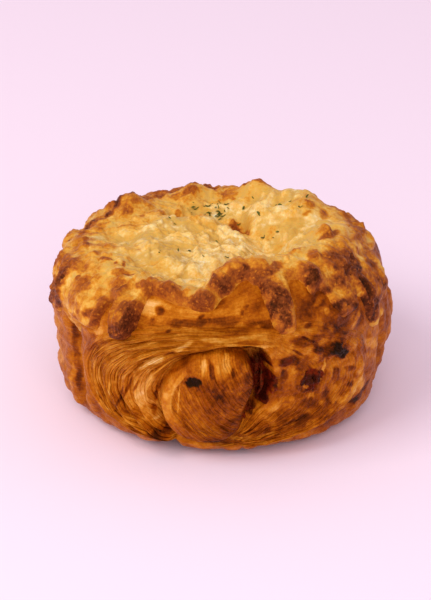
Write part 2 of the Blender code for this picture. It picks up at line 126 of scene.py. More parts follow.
def cloud(points: Floats, cell: float, seed: int, octaves: int = 3) -> Floats:
    """Returns noise with finer noise on top of it.

    Args:
        points: Places in mm, one row each.
        cell: Size of the largest cells in mm.
        seed: Chooses the pattern.
        octaves: How many layers of noise, each half the size and height of the last.

    Returns:
        One value for each point, mostly between -1 and 1.
    """
    total = np.zeros(len(points))
    for octave in range(octaves):
        total += lattice_noise(points, cell / 2**octave, seed + octave) / 2**octave
    return total


def billow(points: Floats, cell: float, seed: int, octaves: int = 2) -> Floats:
    """Returns rounded bumps with creases between them, between 0 and about 1.

    Args:
        points: Places in mm, one row each.
        cell: Size of the bumps in mm.
        seed: Chooses the pattern.
        octaves: How many layers of bumps, each half the size of the last.

    Returns:
        One value for each point.
    """
    total = np.zeros(len(points))
    for octave in range(octaves):
        total += np.sqrt(np.abs(lattice_noise(points, cell / 2**octave, seed + octave))) / 2**octave
    return total / 1.4


def sheets(
    layer: Floats, along: Floats, pitch: float, seed: int, run: float = 5.0
) -> tuple[Floats, Floats]:
    """Returns a stack of thin baked sheets, seen edge on.

    Args:
        layer: Places across the stack, in mm.
        along: Places in mm, which vary slowly along a sheet.
        pitch: Distance from one sheet to the next, in mm.
        seed: Chooses the pattern.
        run: How far a sheet keeps its height and colour, in mm.

    Returns:
        Heights of the sheets' edges, about 0 to 1, and each sheet's own value, -1 to 1, which
        fades in and out along the sheet, so that sheets end and others take their place.
    """
    place = layer / pitch + 0.6 * lattice_noise(along, 1.4 * run, seed)
    index = np.floor(place)
    part = place - index
    own = lattice_noise(np.column_stack([index * 3 * run, along[:, 0], along[:, 2]]), run, seed + 1)
    edge = ease(0, 0.25, part) * (1 - 0.9 * ease(0.25, 1.0, part))
    return edge * (0.8 + 0.5 * own) + 0.3 * own, own


class RollEnd(Enum):
    """The two cut ends of the roll, by their angle round the bun."""

    FRONT = 0
    BACK = 180

    @property
    def hand(self) -> float:
        """1 for the front end, -1 for the back end, which is the mirror image."""
        return 1.0 if self is RollEnd.FRONT else -1.0


class Sector(NamedTuple):
    """A stretch of a circle: its middle and its half width, in degrees."""

    centre: float
    half_width: float


class Slopes(NamedTuple):
    """Where something rises from 0 to 1 and where it falls back, each as two ends."""

    rise: tuple[float, float]
    fall: tuple[float, float]


class Furrow(NamedTuple):
    """A groove up the wall: angle, half width, depth (below 0 for a lobe) and lean with the climb."""

    angle: float
    half_width: float
    depth: float
    lean: float


class Swell(NamedTuple):
    """A soft change of the plain bun: where, how wide, and how far outwards and upwards."""

    angle: float
    climb: float
    half_angle: float
    half_climb: float
    outwards: float
    upwards: float


class Knob(NamedTuple):
    """A rounded lump: where, half sizes along angle and climb, height, and how browned it is."""

    angle: float
    climb: float
    half_width: float
    half_climb: float
    height: float
    brown: float


class Drip(NamedTuple):
    """A stretch of the cheese edge that reaches down to another climb."""

    angle: float
    half_angle: float
    climb: float


class Mound(NamedTuple):
    """A raised or sunken stretch of the cheese, as an oval seen from above."""

    x: float
    y: float
    half_x: float
    half_y: float
    height: float
    flat_share: float


class Stain(NamedTuple):
    """A patch of colour: where, half sizes, how far it leans over in degrees, and its strength."""

    angle: float
    climb: float
    half_width: float
    half_climb: float
    lean: float
    strength: float


def rows_of(kind: type, *numbers: tuple[float, ...]) -> tuple:
    """Returns one row of the kind for each tuple of numbers."""
    return tuple(kind(*row) for row in numbers)


@dataclass(frozen=True)
class BunShape:
    """The bun's form, as the CAD solids have it: named sizes and the height functions they drive."""

    wall_radius: float = 52.0
    bun_height: float = 53.0
    contact_radius: float = 38.0
    bowl_height: float = 42.5
    side_shift: float = -0.6
    rim_climb: float = 66.0
    cheese_in_bowl: float = 4.0
    cheese_on_rim: float = 1.3
    cheese_step: float = 1.0
    cheese_dip: float = 2.4
    cheese_edge_width: float = 1.8
    cheese_edge_climb: float = 55.0
    bare_front_climb: float = 61.0
    roll_climb: float = 31.5
    roll_offset: float = -1.0
    inner_radius: float = 15.8
    inner_shift: float = 3.7
    inner_shift_angle: float = 201.0
    inner_oval: float = 2.5
    inner_oval_angle: float = 61.0
    outer_left: float = 51.0
    outer_right: float = 57.0
    outer_up: float = 21.5
    outer_down: float = 22.5
    outer_squareness: float = 2.3
    roll_rise: float = 3.4
    roll_edge_width: float = 2.6
    roll_right: Sector = Sector(4, 34)
    roll_top: Sector = Sector(72, 40)
    roll_left: Sector = Sector(178, 58)
    roll_foot: Sector = Sector(290, 50)
    lip_proud: float = 2.4
    fan_rise: float = 1.3
    right_ridge: float = 1.6
    ridge_share: float = 0.82
    ridge_width: float = 0.13
    seam_drop: float = 2.8
    seam_recess: float = 3.2
    bed_depth: float = 6.0
    seam_softness: float = 0.9
    seam_soft_top: Sector = Sector(92, 68)
    layer_folds: float = 7.0
    fold_height: float = 0.8
    fold_spread: float = 1.2
    foot_folds: float = 0.6
    notch_depth: float = 3.6
    notch_spokes: Sector = Sector(238, 7)
    notch_angles: Sector = Sector(-19, 3)
    crevice_width: float = 3.2
    crevice_spokes: Sector = Sector(12, 40)
    raised_right: Slopes = Slopes((-8, 18), (80, 108))
    raise_height: float = 5.5
    raise_climb: float = 68.0
    raise_half_climb: float = 11.0
    raise_lean: float = 5.0
    raise_lean_climbs: Slopes = Slopes((48, 70), (74, 92))
    wall_climbs: Slopes = Slopes((8, 18), (40, 48))
    furrows: tuple[Furrow, ...] = rows_of(
        Furrow,
        (-80, 14, -1.6, 0), (97, 14, -1.2, 0), (-60.5, 3.6, 4.2, 0), (76, 4, 3, 0),
        (-106, 4.5, 3.4, -0.2), (112, 4.5, 3, 0.15),
    )
    pleated: Sector = Sector(-76, 12)
    pleat_height: float = 0.5
    bare_front: Slopes = Slopes((-31, -28), (34, 39))
    groove: tuple[tuple[float, float], ...] = (
        (-62, 0), (-40, 2.6), (-12, 6), (42, 6.6), (64, 3.8), (90, 2.6), (135, 2.2), (180, 2.6),
        (214, 3.2), (236, 3.8), (254, 1.2), (270, 0),
    )
    swells: tuple[Swell, ...] = rows_of(
        Swell,
        (-86, 50, 34, 10, 1, 0), (-90, 28, 30, 12, -1.8, 0), (-80, 5, 30, 10, 2.8, 0),
        (58, 6, 44, 12, 2.6, 0), (94, 34, 26, 16, 1.4, 0), (-20, 4, 30, 8, 1, 0),
        (178, 68, 18, 14, 0, -2.8), (-108, 66, 22, 14, 0, -4), (-151, 67, 12, 12, 0, -1.8),
        (148, 67, 16, 12, 0, -2.2), (100, 63, 20, 12, 0, -1.4), (180, 66, 80, 14, 0, -1.2),
        (-112, 54, 12, 8, -1, -0.8), (-94, 58, 10, 6, 0, 0.9), (88, 42, 20, 6, -1.8, 0),
        (103, 56, 14, 8, 0.6, 0), (86, 54, 14, 6, -1.5, 0),
    )
    knobs: tuple[Knob, ...] = rows_of(
        Knob,
        (-33.5, 49, 5.2, 4.6, 3.8, 0.62), (-34, 55.5, 5.4, 4, 2.8, 0.45), (-53, 50, 9, 6, 2.4, 0.15),
        (-71, 57, 7, 4, 2, 0.35), (-78.5, 45, 3, 4.2, 0.2, 0.6), (-84, 55.5, 5, 3.4, 1.3, 0.3),
        (-69.5, 48.5, 3, 4, 1.4, 0.6), (-42, 61.5, 3.2, 2, 1.4, 0.3), (-30.5, 62.5, 5.4, 2.4, 2.2, 0.4),
        (-21.5, 63, 4.6, 2.4, 2.2, 0.4), (-6.5, 61, 3.8, 3.4, 3.6, 0.55),
        (-0.5, 65.5, 4.4, 3.2, 3.6, 0.6), (8, 66.5, 5, 2.6, 2.8, 0.6), (19, 65.5, 5.4, 2.6, 2, 0.55),
        (22.5, 55, 4.4, 6.5, 1.4, 0.55), (40, 59.5, 3.6, 3.6, 2, 0.7), (59, 60, 12, 5, 1.6, 0.4),
        (70, 45, 10, 8, 0.9, 0.45), (72, 67, 4.2, 2, 1.8, 0.6), (96, 70, 3.4, 2.6, 2.6, 0.35),
        (161.5, 66, 7.6, 4, 4.4, 0.1), (-167, 65, 6, 4, 2.6, 0.4), (-134, 64, 5, 3.5, 2, 0.35),
    )
    front_drips: tuple[Drip, ...] = rows_of(
        Drip,
        (-76, 9, 41.5), (-60, 8, 40), (-49, 6, 45.5), (-34, 4.2, 45.5), (-6, 5, 59), (9.5, 4, 63.5),
        (22.5, 5.2, 48.5), (40.5, 4, 57.3), (50, 7, 48.8), (70, 12, 39),
    )
    mounds: tuple[Mound, ...] = rows_of(
        Mound,
        (-9, 0, 21, 24, 6, 0.72), (20, 20, 14, 17, 5, 0.5), (6, 17, 3.4, 8, -2.4, 0.1),
    )
    side_seed: int = 5
    side_drip_count: int = 7
    side_angles: tuple[float, float] = (112.0, 260.0)
    side_angle_play: float = 6.0
    side_half_angles: tuple[float, float] = (5.0, 9.0)
    side_climbs: tuple[float, float] = (44.0, 52.0)

    @property
    def arc(self) -> float:
        """Millimetres along the wall for one degree."""
        return self.wall_radius * math.pi / 180.0

    @property
    def outline(self) -> Floats:
        """Radius and height of the turned outline, from the contact edge into the sunken top."""
        wall, top, bowl = self.wall_radius, self.bun_height, self.bowl_height
        foot = [(self.contact_radius, 0.0), (wall - 6.0, 3.8), (wall - 2.4, 10.0), (wall - 0.8, 19.0)]
        side = [(wall, 28.0), (wall - 0.2, 38.0), (wall - 1.8, 45.0), (wall - 5.8, 50.0)]
        rim = [(wall - 12.0, top), (wall - 18.5, top - 1.0)]
        return np.array(
            foot + side + rim + [(27.0, bowl + 6.0), (18.0, bowl + 2.5), (8.0, bowl + 0.4), (0.0, bowl)]
        )

    @property
    def climbs(self) -> Floats:
        """The climb of each point of the outline."""
        steps = np.linalg.norm(np.diff(self.outline, axis=0), axis=1)
        return np.concatenate([[0.0], np.cumsum(steps)])

    def side_drips(self) -> tuple[Drip, ...]:
        """Spreads the cheese tongues of the sides and the back by a seeded draw.

        Returns:
            The tongues.
        """
        draw = np.random.default_rng(self.side_seed)
        first, last = self.side_angles
        made = []
        for place in range(self.side_drip_count):
            angle = first + (last - first) * (place + 0.5) / self.side_drip_count
            angle = angle + draw.uniform(-self.side_angle_play, self.side_angle_play)
            half_angle = draw.uniform(*self.side_half_angles)
            made.append(Drip(angle, half_angle, draw.uniform(*self.side_climbs)))
        return tuple(made)

    def last_climb(self) -> float:
        """Returns the last climb of a grid, just short of the bowl's middle."""
        return self.climbs[-1] - 0.1

    def point(self, angle: Floats, climb: Floats) -> Floats:
        """Returns a place on the plain bun.

        Args:
            angle: Angles round the bun, in degrees.
            climb: Climbs in mm.

        Returns:
            Points in mm, with x, y, z on the last axis.
        """
        outline, climbs = self.outline, self.climbs
        slopes = np.gradient(outline, climbs, axis=0)
        span = np.clip(np.searchsorted(climbs, climb) - 1, 0, len(climbs) - 2)
        step = (climbs[span + 1] - climbs[span])[..., None]
        share = (climb - climbs[span])[..., None] / step
        cube, square = share**3, share**2
        curve = (2 * cube - 3 * square + 1) * outline[span]
        curve = curve + (cube - 2 * square + share) * step * slopes[span]
        curve = curve + (3 * square - 2 * cube) * outline[span + 1]
        curve = curve + (cube - square) * step * slopes[span + 1]
        radius, height = curve[..., 0], curve[..., 1]
        # The rim stands higher over the right half of the front
        raised = plateau(turn(angle, 0), *self.raised_right)
        risen = raised * bell(climb - self.raise_climb, self.raise_half_climb)
        height = height + self.raise_height * risen
        radius = radius - self.raise_lean * raised * plateau(climb, *self.raise_lean_climbs)
        for swell in self.swells:
            amount = bell(turn(angle, swell.angle), swell.half_angle)
            amount = amount * bell(climb - swell.climb, swell.half_climb)
            radius = radius + swell.outwards * amount * (radius > 0)
            height = height + swell.upwards * amount
        around = np.radians(angle)
        x = radius * np.sin(around) + self.side_shift
        return np.stack([x, -radius * np.cos(around), height], axis=-1)

    def normal(self, angle: Floats, climb: Floats) -> Floats:
        """Works out the outward normals of the plain bun.

        Args:
            angle: Angles round the bun, in degrees.
            climb: Climbs in mm.

        Returns:
            Unit vectors, with x, y, z on the last axis.
        """
        small = 0.05
        across = self.point(angle + small, climb) - self.point(angle - small, climb)
        along = self.point(angle, climb + small) - self.point(angle, climb - small)
        normal = np.cross(across, along)
        return normal / np.maximum(np.linalg.norm(normal, axis=-1, keepdims=True), 1e-9)

    def raised(self, angle: Floats, climb: Floats, height: Floats) -> Floats:
        """Returns points at a height over the plain bun, along its normals."""
        return self.point(angle, climb) + self.normal(angle, climb) * height[..., None]

    def lump(self, knob: Knob, angle: Floats, climb: Floats) -> Floats:
        """Works out the form of a knob.

        Args:
            knob: The knob.
            angle: Angles round the bun, in degrees.
            climb: Climbs in mm.

        Returns:
            The share of the knob's height at each place.
        """
        across = turn(angle, knob.angle) * self.arc / knob.half_width
        along = (climb - knob.climb) / knob.half_climb
        return np.exp(-((across**2 + along**2) ** 1.4))

    def outer_reach(self, spoke: Floats) -> Floats:
        """Works out the swirl's edge, a soft-cornered oval.

        Args:
            spoke: Angles round the roll's middle, in radians.

        Returns:
            The swirl's outer radius along each spoke, in mm.
        """
        wide = np.where(np.cos(spoke) > 0, self.outer_right, self.outer_left)
        tall = np.where(np.sin(spoke) > 0, self.outer_up, self.outer_down)
        power = self.outer_squareness
        edge = (np.abs(np.cos(spoke)) / wide) ** power + (np.abs(np.sin(spoke)) / tall) ** power
        return edge ** (-1 / power)

    def inner_reach(self, spoke: Floats) -> Floats:
        """Works out the inner roll's edge, a slanted oval.

        Args:
            spoke: Angles round the roll's middle, in radians.

        Returns:
            The inner roll's radius along each spoke, in mm.
        """
        shifted = self.inner_shift * np.cos(spoke - math.radians(self.inner_shift_angle))
        oval = self.inner_oval * np.cos(2 * (spoke - math.radians(self.inner_oval_angle)))
        return self.inner_radius + shifted + oval

    def swirl_relief(self, reach: Floats, spoke: Floats) -> Floats:
        """Returns the height of a roll's cut end over the plain bun.

        Args:
            reach: Distances from the roll's middle, in mm.
            spoke: Angles round the roll's middle, in radians.

        Returns:
            Heights in mm.
        """
        inner, outer = self.inner_reach(spoke), self.outer_reach(spoke)
        degrees = np.degrees(spoke)
        depth = np.interp(degrees, *np.transpose(self.groove), period=360)
        crevice = hump(degrees, *self.crevice_spokes)
        sectors = (self.roll_top, self.roll_left, self.roll_foot, self.roll_right)
        top, fan, lower, right = (hump(degrees, *sector) for sector in sectors)
        # The groove between roll and fan, which opens into a crevice at the right
        inside = np.clip(reach / inner, 0, 1)
        beyond = np.clip(reach - inner, 0, None)
        share = np.clip(beyond / (outer - inner), 0, 1)
        floor = 0.5 + self.crevice_width * crevice
        inner_valley = 1 - ease(0, self.roll_edge_width, inner - reach)
        climb_width = 0.9 + 1.8 * (1 - top)
        outer_valley = 1 - ease(0, 1, (beyond - floor) / climb_width)
        valley = np.where(reach < inner, inner_valley, outer_valley)
        # The lip above the roll, the swelling fan, the ridge at the right and the dough's folds
        level = self.lip_proud * top * (1 - ease(0.1, 0.9, share))
        level = level + self.fan_rise * fan * np.sin(math.pi * share)
        level = level + self.right_ridge * right * bell(share - self.ridge_share, self.ridge_width)
        folds = np.cos(2 * math.pi * self.layer_folds * share ** (1 / self.fold_spread))
        level = (level + self.fold_height * folds * (fan + self.foot_folds * lower)) * (1 - valley)
        level = np.where(reach < inner, self.roll_rise * (1 - inside**2), level)
        notch = self.notch_depth * hump(degrees, *self.notch_spokes) * ease(0.0, 0.5, share)
        drop = self.seam_drop * (1 - self.seam_softness * hump(degrees, *self.seam_soft_top))
        return level - depth * valley - notch - drop * ease(0.92, 1.0, reach / outer) + 0.4 * share

    def swirl_share(self, angle: Floats, climb: Floats, end: RollEnd) -> Floats:
        """Works out how far out each place is in a swirl.

        Args:
            angle: Angles round the bun, in degrees.
            climb: Climbs in mm.
            end: The roll's end that the swirl is on.

        Returns:
            Shares of the swirl's radius, with 1 at its edge.
        """
        across = end.hand * turn(angle, end.value) * self.arc - self.roll_offset
        up = climb - self.roll_climb
        return np.hypot(across, up) / self.outer_reach(np.arctan2(up, across))

    def sunk(self, angle: Floats, climb: Floats) -> Floats:
        """Works out how far the other pieces lie below the roll's ends, so that no crevice shows them.

        Args:
            angle: Angles round the bun, in degrees.
            climb: Climbs in mm.

        Returns:
            Depths in mm.
        """
        depth = np.zeros_like(climb)
        for end in RollEnd:
            share = self.swirl_share(angle, climb, end)
            depth = np.maximum(depth, self.bed_depth * (1 - ease(0.62, 0.8, share)))
        return depth

    def wall_relief(self, angle: Floats, climb: Floats) -> Floats:
        """Works out the dough's height over the plain bun, away from the swirls.

        Args:
            angle: Angles round the bun, in degrees.
            climb: Climbs in mm.

        Returns:
            Heights in mm.
        """
        bed = np.zeros_like(climb)
        for end in RollEnd:
            share = self.swirl_share(angle, climb, end)
            bed = np.maximum(bed, self.seam_recess * (1 - ease(0.8, 0.93, share)))
        form = self.pleat_height * np.cos(climb * 0.9 + 0.05 * angle) * hump(angle, *self.pleated)
        for furrow in self.furrows:
            leaned = angle + furrow.lean * climb
            form = form - furrow.depth * hump(leaned, furrow.angle, furrow.half_width)
        waves = 0.5 * np.cos(np.radians(5 * angle + 40) + climb * 0.06)
        notch = self.notch_depth * hump(angle, *self.notch_angles) * (1 - ease(8, 14, climb))
        return form * plateau(climb, *self.wall_climbs) + waves * ease(20, 40, climb) - bed - notch

    def cheese_edge(self, angle: Floats) -> Floats:
        """Works out where the cheese ends.

        Args:
            angle: Angles round the bun, in degrees.

        Returns:
            The climb of the edge at each angle, in mm.
        """
        bare = plateau(turn(angle, 0), *self.bare_front)
        edge = self.cheese_edge_climb + (self.bare_front_climb - self.cheese_edge_climb) * bare
        edge = edge + 1.0 * np.sin(np.radians(7 * angle)) + 0.6 * np.sin(np.radians(13 * angle + 50))
        for drip in self.front_drips + self.side_drips():
            within = np.abs(turn(angle, drip.angle)) / drip.half_angle
            edge = edge + (drip.climb - edge) * (1 - ease(0.4, 1.3, within))
        return edge

    def cheese_inset(self, angle: Floats, climb: Floats) -> Floats:
        """Returns the distance inwards from the cheese's edge, negative outside it."""
        slope = (self.cheese_edge(angle + 0.5) - self.cheese_edge(angle - 0.5)) / self.arc
        return (climb - self.cheese_edge(angle)) / np.hypot(1.0, slope)

    def cheese_relief(self, angle: Floats, climb: Floats) -> Floats:
        """Works out the height of the cheese's knobs and mounds over the plain bun.

        Args:
            angle: Angles round the bun, in degrees.
            climb: Climbs in mm.

        Returns:
            Heights in mm.
        """
        total = np.zeros_like(climb)
        for knob in self.knobs + self.side_knobs():
            total = total + knob.height * self.lump(knob, angle, climb)
        place = self.point(angle, climb)
        for mound in self.mounds:
            across, along = place[..., 0] - mound.x, place[..., 1] - mound.y
            out = np.hypot(across / mound.half_x, along / mound.half_y)
            total = total + mound.height * (1 - ease(mound.flat_share, 1.1, out))
        return total

    def side_knobs(self) -> tuple[Knob, ...]:
        """Returns the swollen ends of the side tongues."""
        return tuple(Knob(drip.angle, drip.climb + 3, 4.5, 3.5, 1.0, 0.3) for drip in self.side_drips())

    def cheese_lift(self, inset: Floats) -> Floats:
        """Returns the cheese's height over the dough near its edge: it dips in outside the edge."""
        rise = ease(-self.cheese_edge_width, self.cheese_edge_width, inset + 0.7)
        return -self.cheese_dip + (self.cheese_dip + self.cheese_step) * rise

    def cheese_thickness(self, angle: Floats, climb: Floats) -> Floats:
        """Works out how far the dough lies under the top of the cheese.

        Args:
            angle: Angles round the bun, in degrees.
            climb: Climbs in mm.

        Returns:
            Depths in mm.
        """
        covered = ease(0.3, 4.0, self.cheese_inset(angle, climb))
        in_bowl = ease(self.rim_climb, self.rim_climb + 14, climb)
        return covered * (self.cheese_on_rim + (self.cheese_in_bowl - self.cheese_on_rim) * in_bowl)

    def stained(
        self, stains: tuple[Stain, ...], angle: Floats, climb: Floats, ragged: Floats
    ) -> Floats:
        """Adds up patches of colour with uneven edges.

        Args:
            stains: The patches.
            angle: Angles round the bun, in degrees.
            climb: Climbs in mm.
            ragged: Noise that makes the patches' edges uneven.

        Returns:
            The sum of the patches' strengths at each place.
        """
        total = np.zeros_like(climb)
        for stain in stains:
            across = turn(angle, stain.angle) * self.arc
            up = climb - stain.climb
            lean = math.radians(stain.lean)
            along = (across * math.cos(lean) + up * math.sin(lean)) / stain.half_width
            side = (up * math.cos(lean) - across * math.sin(lean)) / stain.half_climb
            total = total + stain.strength * (1 - ease(0.55, 1.3, np.hypot(along, side) + ragged))
        return total


class Grain(NamedTuple):
    """A noise in a finish: cells for each metre, its layers of detail, and how much it browns."""

    per_metre: float
    detail: float
    browning: float


def linear(hex_code: str) -> tuple[float, float, float, float]:
    """Turns an sRGB hex colour such as "#d48b38" into a linear colour with alpha 1.

    Args:
        hex_code: A hash sign and six hex digits.

    Returns:
        Red, green, blue and alpha.
    """
    parts = [int(hex_code[place : place + 2], 16) / 255 for place in (1, 3, 5)]
    made = [part / 12.92 if part <= 0.04045 else ((part + 0.055) / 1.055) ** 2.4 for part in parts]
    return made[0], made[1], made[2], 1.0


def add_node(tree: Tree, kind: str, links: dict, out: int | str = 0, **settings: object) -> Socket:
    """Adds a shader node with its settings and inputs.

    Args:
        tree: The material's node tree.
        kind: The node's type name, without the ShaderNode that it starts with.
        links: For each input, by name or number, a socket to link from or a value to set.
        out: The output that is used, by name or number.
        **settings: The node's own properties.

    Returns:
        The socket of that output.
    """
    node = tree.nodes.new("ShaderNode" + kind)
    for name, value in settings.items():
        setattr(node, name, value)
    for name, value in links.items():
        if isinstance(value, Socket):
            tree.links.new(value, node.inputs[name])
        else:
            node.inputs[name].default_value = value
    return node.outputs[out]


@dataclass(frozen=True)
class ToastScale:
    """A scale of browning: colours from raw to burnt, each at its share of the way."""

    colours: tuple[str, ...]
    shares: tuple[float, ...] = (0.0, 0.15, 0.3, 0.45, 0.6, 0.75, 0.88, 1.0)

    def add(self, tree: Tree, amount: Socket) -> Socket:
        """Adds the scale to a material.

        Args:
            tree: The material's node tree.
            amount: The socket that holds how browned a place is, with painted light and shade.

        Returns:
            The colour socket.
        """
        colour = add_node(tree, "ValToRGB", {0: amount})
        elements = colour.node.color_ramp.elements
        while len(elements) < len(self.colours):
            elements.new(0.5)
        for element, share, hex_code in zip(elements, self.shares, self.colours):
            element.position = share
            element.color = linear(hex_code)
        return colour


@dataclass(frozen=True)
class FoodFinish:
    """What all the finishes share: a name, gloss, and how deep light goes into the food, in mm."""

    name: str
    roughness: float
    ior: float
    glow_depth: float
    glow: float
    sheen_level: float = 0.28
    sheen_colour: str = "#ffb868"
    glow_reach: tuple[float, float, float] = (1.0, 0.45, 0.2)

    def start(self) -> tuple[Material, Tree, bpy.types.Node]:
        """Makes the material with its even values set on the shader.

        Returns:
            The material, its node tree and its shader.
        """
        material = bpy.data.materials.new(self.name)
        material.use_nodes = True
        shader = material.node_tree.nodes["Principled BSDF"]
        for name, value in (
            ("Roughness", self.roughness),
            ("IOR", self.ior),
            ("Specular IOR Level", self.sheen_level),
            ("Specular Tint", linear(self.sheen_colour)),
            ("Subsurface Weight", self.glow),
            ("Subsurface Radius", self.glow_reach),
            ("Subsurface Scale", self.glow_depth * METRES),
        ):
            shader.inputs[name].default_value = value
        return material, material.node_tree, shader

    def connect(
        self, shader: bpy.types.Node, colour: Socket, height: Socket, strength: float, depth: float,
        gloss: Socket | None = None,
    ) -> None:
        """Links a finish's patterns to its shader.

        Args:
            shader: The material's shader.
            colour: The colour.
            height: The small relief.
            strength: How strongly the relief shows.
            depth: The relief's height in mm.
            gloss: The roughness, where it isn't even.
        """
        tree = shader.id_data
        bump = {"Height": height, "Strength": strength, "Distance": depth * METRES}
        tree.links.new(colour, shader.inputs["Base Color"])
        tree.links.new(add_node(tree, "Bump", bump), shader.inputs["Normal"])
        if gloss is not None:
            tree.links.new(gloss, shader.inputs["Roughness"])


@dataclass(frozen=True)
class BakedDough(FoodFinish):
    """Croissant crust: satin, glazed with egg, in fine layers that brown unevenly where they are cut.

    The sheets are 0.85 mm apart, with painted shade in their gaps. Blotches 6 mm across, blisters
    of 2.3 mm and a crumb of 0.9 mm vary the brown of the crust.
    """

    name: str = "baked_croissant_dough"
    roughness: float = 0.42
    ior: float = 1.45
    glow_depth: float = 0.8
    glow: float = 0.08
    scale: ToastScale = ToastScale(
        ("#f2c787", "#e5a751", "#d38929", "#b9670c", "#964602", "#6a2900", "#401100", "#1a0601")
    )
    sauce_colours: tuple[str, str] = ("#2c0302", "#701c07")
    char_colours: tuple[str, str] = ("#060100", "#1f0a05")
    layer_pitch: float = 0.85
    layer_bend: float = 1.36
    fibre_pitch: float = 0.45
    fibre_length: float = 20.0
    sheet_browning: float = 0.44
    gap_shading: float = 0.14
    fibre_browning: float = 0.36
    char_browning: float = 0.5
    blotches: Grain = Grain(170.0, 4.0, 0.3)
    blisters: Grain = Grain(430.0, 4.0, 0.95)
    crumb: Grain = Grain(1100.0, 3.0, 0.3)
    gloss_range: tuple[float, float] = (-0.12, 0.14)
    bump_depth: float = 0.45

    def make(self) -> Material:
        """Makes the material.

        Returns:
            The material.
        """
        material, tree, shader = self.start()
        add, change = partial(add_node, tree), partial(self.add_change, tree)
        place = add("TexCoord", {}, "Object")
        toast_and_shading, layer, flaky, sauce, char, rough = (
            add("Attribute", {}, "Fac", attribute_name=name)
            for name in ("toast_and_shading", "layer", "flaky", "sauce", "char", "rough")
        )
        own, edge, gap = self.add_sheets(tree, place, layer)
        fibre = self.add_fibre(tree, place, layer)
        blotch, blister, crumb = (
            add("TexNoise", {"Vector": place, "Scale": size, "Detail": detail, "Roughness": 0.6})
            for size, detail, _ in (self.blotches, self.blisters, self.crumb)
        )
        for source, amount, middle, share in (
            (own, self.sheet_browning, 0.5, flaky),
            # The gaps between the sheets are darkened as painted shade
            (gap, self.gap_shading, 0.25, flaky),
            (fibre, self.fibre_browning, 0.5, flaky),
            (blister, self.blisters.browning, 0.5, rough),
            (blotch, self.blotches.browning, 0.5, None),
            (crumb, self.crumb.browning, 0.5, None),
            (char, self.char_browning, 0.0, None),
        ):
            toast_and_shading = change(toast_and_shading, source, amount, middle, share)
        colour = self.scale.add(tree, toast_and_shading)
        lit = add("MapRange", {"Value": blister, "From Min": 0.38, "From Max": 0.64})
        # Tomato and char cover the crust with torn edges
        for mask, colours in ((sauce, self.sauce_colours), (char, self.char_colours)):
            dark, light = map(linear, colours)
            tone = add("Mix", {0: lit, 6: dark, 7: light}, 2, data_type="RGBA")
            torn = change(mask, blister, 0.9, 0.5, None)
            covered = add("MapRange", {"Value": torn, "From Min": 0.4, "From Max": 0.8})
            colour = add("Mix", {0: covered, 6: colour, 7: tone}, 2, data_type="RGBA")
        low, high = (self.roughness + part for part in self.gloss_range)
        gloss = add("MapRange", {"Value": blister, "To Min": low, "To Max": high})
        height = crumb
        for source, amount, share in ((edge, 0.8, flaky), (fibre, 1.2, flaky), (blister, 2.6, rough)):
            height = change(height, source, amount, 0.0, share)
        self.connect(shader, colour, height, 0.8, self.bump_depth, gloss)
        return material

    def add_sheets(self, tree: Tree, place: Socket, layer: Socket) -> tuple[Socket, Socket, Socket]:
        """Adds the cut edges of thin sheets, which wander and end.

        Args:
            tree: The material's node tree.
            place: The place on the piece.
            layer: The distance across the sheets, in mm.

        Returns:
            Each sheet's own brownness, the height of its edge, and the gap beside it, for painted shade.
        """
        add = partial(add_node, tree)
        bend = add("TexNoise", {"Vector": place, "Scale": 100.0, "Detail": 2.0})
        bent = add("Math", {0: bend, 1: self.layer_bend, 2: layer}, operation="MULTIPLY_ADD")
        rank = add("Math", {0: bent, 1: 1 / self.layer_pitch}, operation="MULTIPLY")
        index = add("Math", {0: rank}, operation="FLOOR")
        part = add("Math", {0: rank}, operation="FRACT")
        jump = add("Math", {0: index, 1: 3.7}, operation="MULTIPLY")
        offset = add("CombineXYZ", {0: jump, 2: jump})
        spread = {0: place, 1: (130.0, 130.0, 130.0), 2: offset}
        own_place = add("VectorMath", spread, operation="MULTIPLY_ADD")
        own = add("TexNoise", {"Vector": own_place, "Scale": 1.0, "Detail": 1.0})
        ramp = {"Value": part, "From Min": 0.0, "From Max": 0.28}
        rise = add("MapRange", ramp, interpolation_type="SMOOTHSTEP")
        fall = add("MapRange", {"Value": part, "From Min": 0.28, "To Min": 1.0, "To Max": 0.25})
        edge = add("Math", {0: rise, 1: fall}, operation="MULTIPLY")
        gap = add("Math", {0: 1.0, 1: rise}, operation="SUBTRACT")
        return own, edge, gap

    def add_fibre(self, tree: Tree, place: Socket, layer: Socket) -> Socket:
        """Adds noise that is drawn out along the sheets.

        Args:
            tree: The material's node tree.
            place: The place on the piece.
            layer: The distance across the sheets, in mm.

        Returns:
            The noise, around 0.5.
        """
        slow = 1 / (self.fibre_length * METRES)
        across = add_node(tree, "Math", {0: layer, 1: 1 / self.fibre_pitch}, operation="MULTIPLY")
        offset = add_node(tree, "CombineXYZ", {0: across})
        spread = {0: place, 1: (slow, slow, slow), 2: offset}
        drawn = add_node(tree, "VectorMath", spread, operation="MULTIPLY_ADD")
        noise = {"Vector": drawn, "Scale": 1.0, "Detail": 3.0, "Roughness": 0.6}
        return add_node(tree, "TexNoise", noise)

    def add_change(
        self, tree: Tree, value: Socket, source: Socket, amount: float, middle: float,
        share: Socket | None,
    ) -> Socket:
        """Adds a share of a pattern, taken around its middle, to a value.

        Args:
            tree: The material's node tree.
            value: What is changed.
            source: The pattern.
            amount: How much of the pattern is added.
            middle: The pattern's value that changes nothing.
            share: Where the pattern shows, or nothing for everywhere.

        Returns:
            The changed value.
        """
        even = add_node(tree, "Math", {0: source, 1: middle}, operation="SUBTRACT")
        if share is not None:
            even = add_node(tree, "Math", {0: even, 1: share}, operation="MULTIPLY")
        return add_node(tree, "Math", {0: even, 1: amount, 2: value}, operation="MULTIPLY_ADD")


